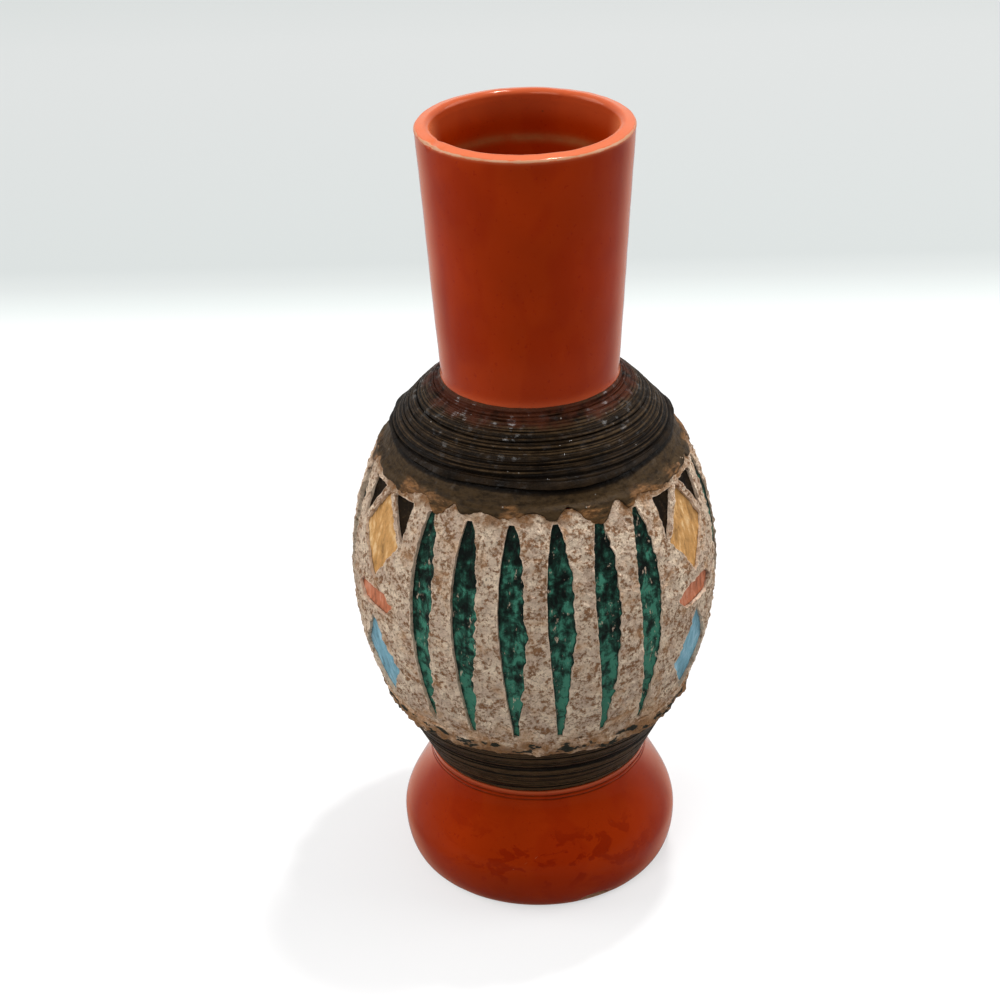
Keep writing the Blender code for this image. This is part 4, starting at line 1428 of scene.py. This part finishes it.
def length_property(name, description, default):
    return bpy.props.FloatProperty(name=name, description=description, default=default, min=0.0,
                                   unit="LENGTH", subtype="DISTANCE", precision=5)


def colour_property(name, description, default):
    return bpy.props.FloatVectorProperty(name=name, description=description, default=default, size=3,
                                         min=0.0, max=1.0, subtype="COLOR")


def share_property(name, description, default):
    return bpy.props.FloatProperty(name=name, description=description, default=default, min=0.0, max=1.0,
                                   subtype="FACTOR")


def power_property(name, description, default):
    return bpy.props.FloatProperty(name=name, description=description, default=default, min=0.0, unit="POWER")


def count_property(name, description, default):
    return bpy.props.IntProperty(name=name, description=description, default=default, min=1)


class VaseSizes(bpy.types.PropertyGroup):
    comb_depth: length_property("Comb depth", "Depth of the deepest combed groove", 0.00052)
    incised_depth: length_property("Incised depth", "Depth of the two lines round the foot", 0.00022)
    hem_lumps: length_property("Hem lumps", "Height of the lumps on the hem", 0.00105)
    edge_wobble: length_property("Edge wobble", "How far a cut edge strays from its drawn line", 0.00042)
    ground_relief: length_property("Ground relief", "Height of the roughness on the cream ground", 0.00058)
    ground_step: length_property("Ground step", "Spacing of the points on the cream ground", 0.00062)
    inlay_recess: length_property("Inlay recess", "How far the inlays lie below the ground", 0.00098)
    inlay_dish: length_property("Inlay dish", "How much deeper an inlay is in its middle", 0.00025)
    shoulder_combs: count_property("Shoulder combs", "Number of main grooves on the shoulder", 11)
    waist_combs: count_property("Waist combs", "Number of main grooves on the waist", 9)


class VaseColours(bpy.types.PropertyGroup):
    glaze: colour_property("Glaze", "Orange glaze of the neck and foot", (0.31, 0.023, 0.0010))
    thin_glaze: colour_property("Thin glaze", "Glaze where it lies thin over the clay", (0.60, 0.13, 0.045))
    bare_clay: colour_property("Bare clay", "Clay without glaze at worn edges", (0.50, 0.29, 0.17))
    dark_slip: colour_property("Dark slip", "Brown-black slip", (0.0130, 0.0070, 0.0026))
    # This colour serves the dust and the painted highlights on the ridges, and the fine flecks.
    slip_dust_and_highlight: colour_property("Slip dust", "Dusty tops of the dark slip's ridges", (0.060, 0.036, 0.016))
    ochre_stain: colour_property("Ochre stain", "Tan stain along the frieze's edges", (0.29, 0.140, 0.055))
    cream_slip: colour_property("Cream slip", "Ground of the frieze", (0.90, 0.665, 0.500))
    cream_mottle: colour_property("Cream mottle", "Brown mottling on the cream slip", (0.27, 0.125, 0.052))
    green_glaze: colour_property("Green glaze", "Glaze of the leaves", (0.016, 0.070, 0.047))
    yellow_slip: colour_property("Yellow slip", "Upper lozenges", (0.57, 0.30, 0.100))
    terracotta_slip: colour_property("Terracotta slip", "Bars", (0.54, 0.18, 0.09))
    blue_slip: colour_property("Blue slip", "Lower lozenges", (0.19, 0.40, 0.50))
    joint_slip: colour_property("Joint slip", "Slip in the joints", (0.20, 0.09, 0.05))


class VaseStage(bpy.types.PropertyGroup):
    floor_radius: length_property("Table radius", "Radius of the pale round table top", 1.35)
    floor_albedo: share_property("Table albedo", "Share of the light that the table top returns", 0.40)
    floor_glow: share_property("Table glow", "White that the camera adds to the table", 0.54)
    room_light: share_property("Room light", "Brightness of the room behind and beside", 0.62)
    room_front: share_property("Room front", "Brightness of the room in front", 0.30)
    overhead_power: power_property("Overhead lamp", "Power of the small lamp overhead", 9.0)
    side_power: power_property("Side lamps", "Power of each wide lamp beside the vase", 7.0)
    front_power: power_property("Front lamp", "Power of the wide lamp in front", 5.5)
    wall_colour: colour_property("Wall", "Far wall as the camera sees it", (0.71, 0.76, 0.745))


class VaseOperator:
    """Runs one builder with the scene's sizes and colours."""
    bl_options = {"REGISTER", "UNDO"}
    builder = None

    def execute(self, context):
        type(self).builder(context.scene.vase_sizes, context.scene.vase_colours)
        return {"FINISHED"}


class VASE_OT_foot(VaseOperator, bpy.types.Operator):
    """Turn and glaze the foot"""
    bl_idname = "vase.foot"
    bl_label = "Glazed foot"
    builder = build_foot


class VASE_OT_belly(VaseOperator, bpy.types.Operator):
    """Turn the belly wall under the coats"""
    bl_idname = "vase.belly"
    bl_label = "Belly wall"
    builder = build_belly


class VASE_OT_neck(VaseOperator, bpy.types.Operator):
    """Turn and glaze the neck"""
    bl_idname = "vase.neck"
    bl_label = "Glazed neck"
    builder = build_neck


class VASE_OT_joints(VaseOperator, bpy.types.Operator):
    """Give the luting rings their clay slip"""
    bl_idname = "vase.joints"
    bl_label = "Luting rings"
    builder = dress_joints


class VASE_OT_waist(VaseOperator, bpy.types.Operator):
    """Comb the slip band above the foot"""
    bl_idname = "vase.waist"
    bl_label = "Combed waist"
    builder = build_waist


class VASE_OT_hem(VaseOperator, bpy.types.Operator):
    """Lay the lumpy hem under the frieze"""
    bl_idname = "vase.hem"
    bl_label = "Frieze hem"
    builder = build_hem


class VASE_OT_ground(VaseOperator, bpy.types.Operator):
    """Carve the cream ground of the frieze"""
    bl_idname = "vase.ground"
    bl_label = "Cream ground"
    builder = build_ground


class VASE_OT_inlays(VaseOperator, bpy.types.Operator):
    """Set the coloured inlays in the ground"""
    bl_idname = "vase.inlays"
    bl_label = "Inlays"
    builder = build_inlays


class VASE_OT_ledge(VaseOperator, bpy.types.Operator):
    """Lay the dark band under the shoulder"""
    bl_idname = "vase.ledge"
    bl_label = "Ledge band"
    builder = build_ledge


class VASE_OT_shoulder(VaseOperator, bpy.types.Operator):
    """Comb the slip on the shoulder"""
    bl_idname = "vase.shoulder"
    bl_label = "Combed shoulder"
    builder = build_shoulder


class VASE_OT_stage(bpy.types.Operator):
    """Set the table top, lamps, room and camera"""
    bl_idname = "vase.stage"
    bl_label = "Stage"
    bl_options = {"REGISTER", "UNDO"}

    def execute(self, context):
        build_stage(context.scene.vase_stage)
        return {"FINISHED"}


class VASE_PT_builder(bpy.types.Panel):
    """Lists the vase's builders"""
    bl_idname = "VASE_PT_builder"
    bl_label = "Inlaid vase"
    bl_space_type = "VIEW_3D"
    bl_region_type = "UI"
    bl_category = "Vase"

    def draw(self, context):
        column = self.layout.column(align=True)
        for operator in OPERATORS:
            column.operator(operator.bl_idname)
        for group in (context.scene.vase_sizes, context.scene.vase_colours, context.scene.vase_stage):
            box = self.layout.box().column(align=True)
            for key in group.bl_rna.properties.keys():
                if key not in ("rna_type", "name"):
                    box.prop(group, key)


OPERATORS = (VASE_OT_stage, VASE_OT_foot, VASE_OT_belly, VASE_OT_neck, VASE_OT_joints, VASE_OT_waist,
             VASE_OT_hem, VASE_OT_ground, VASE_OT_inlays, VASE_OT_ledge, VASE_OT_shoulder)
GROUPS = (("vase_sizes", VaseSizes), ("vase_colours", VaseColours), ("vase_stage", VaseStage))


def register():
    for name, group in GROUPS:
        bpy.utils.register_class(group)
        setattr(bpy.types.Scene, name, bpy.props.PointerProperty(type=group))
    for item in OPERATORS + (VASE_PT_builder,):
        bpy.utils.register_class(item)


def unregister():
    for item in reversed(OPERATORS + (VASE_PT_builder,)):
        bpy.utils.unregister_class(item)
    for name, group in reversed(GROUPS):
        delattr(bpy.types.Scene, name)
        bpy.utils.unregister_class(group)


def main():
    bpy.context.scene.view_settings.view_transform = "Standard"
    register()
    for operator in OPERATORS:
        area, name = operator.bl_idname.split(".")
        getattr(getattr(bpy.ops, area), name)()
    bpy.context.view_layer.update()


if __name__ == "__main__":
    main()
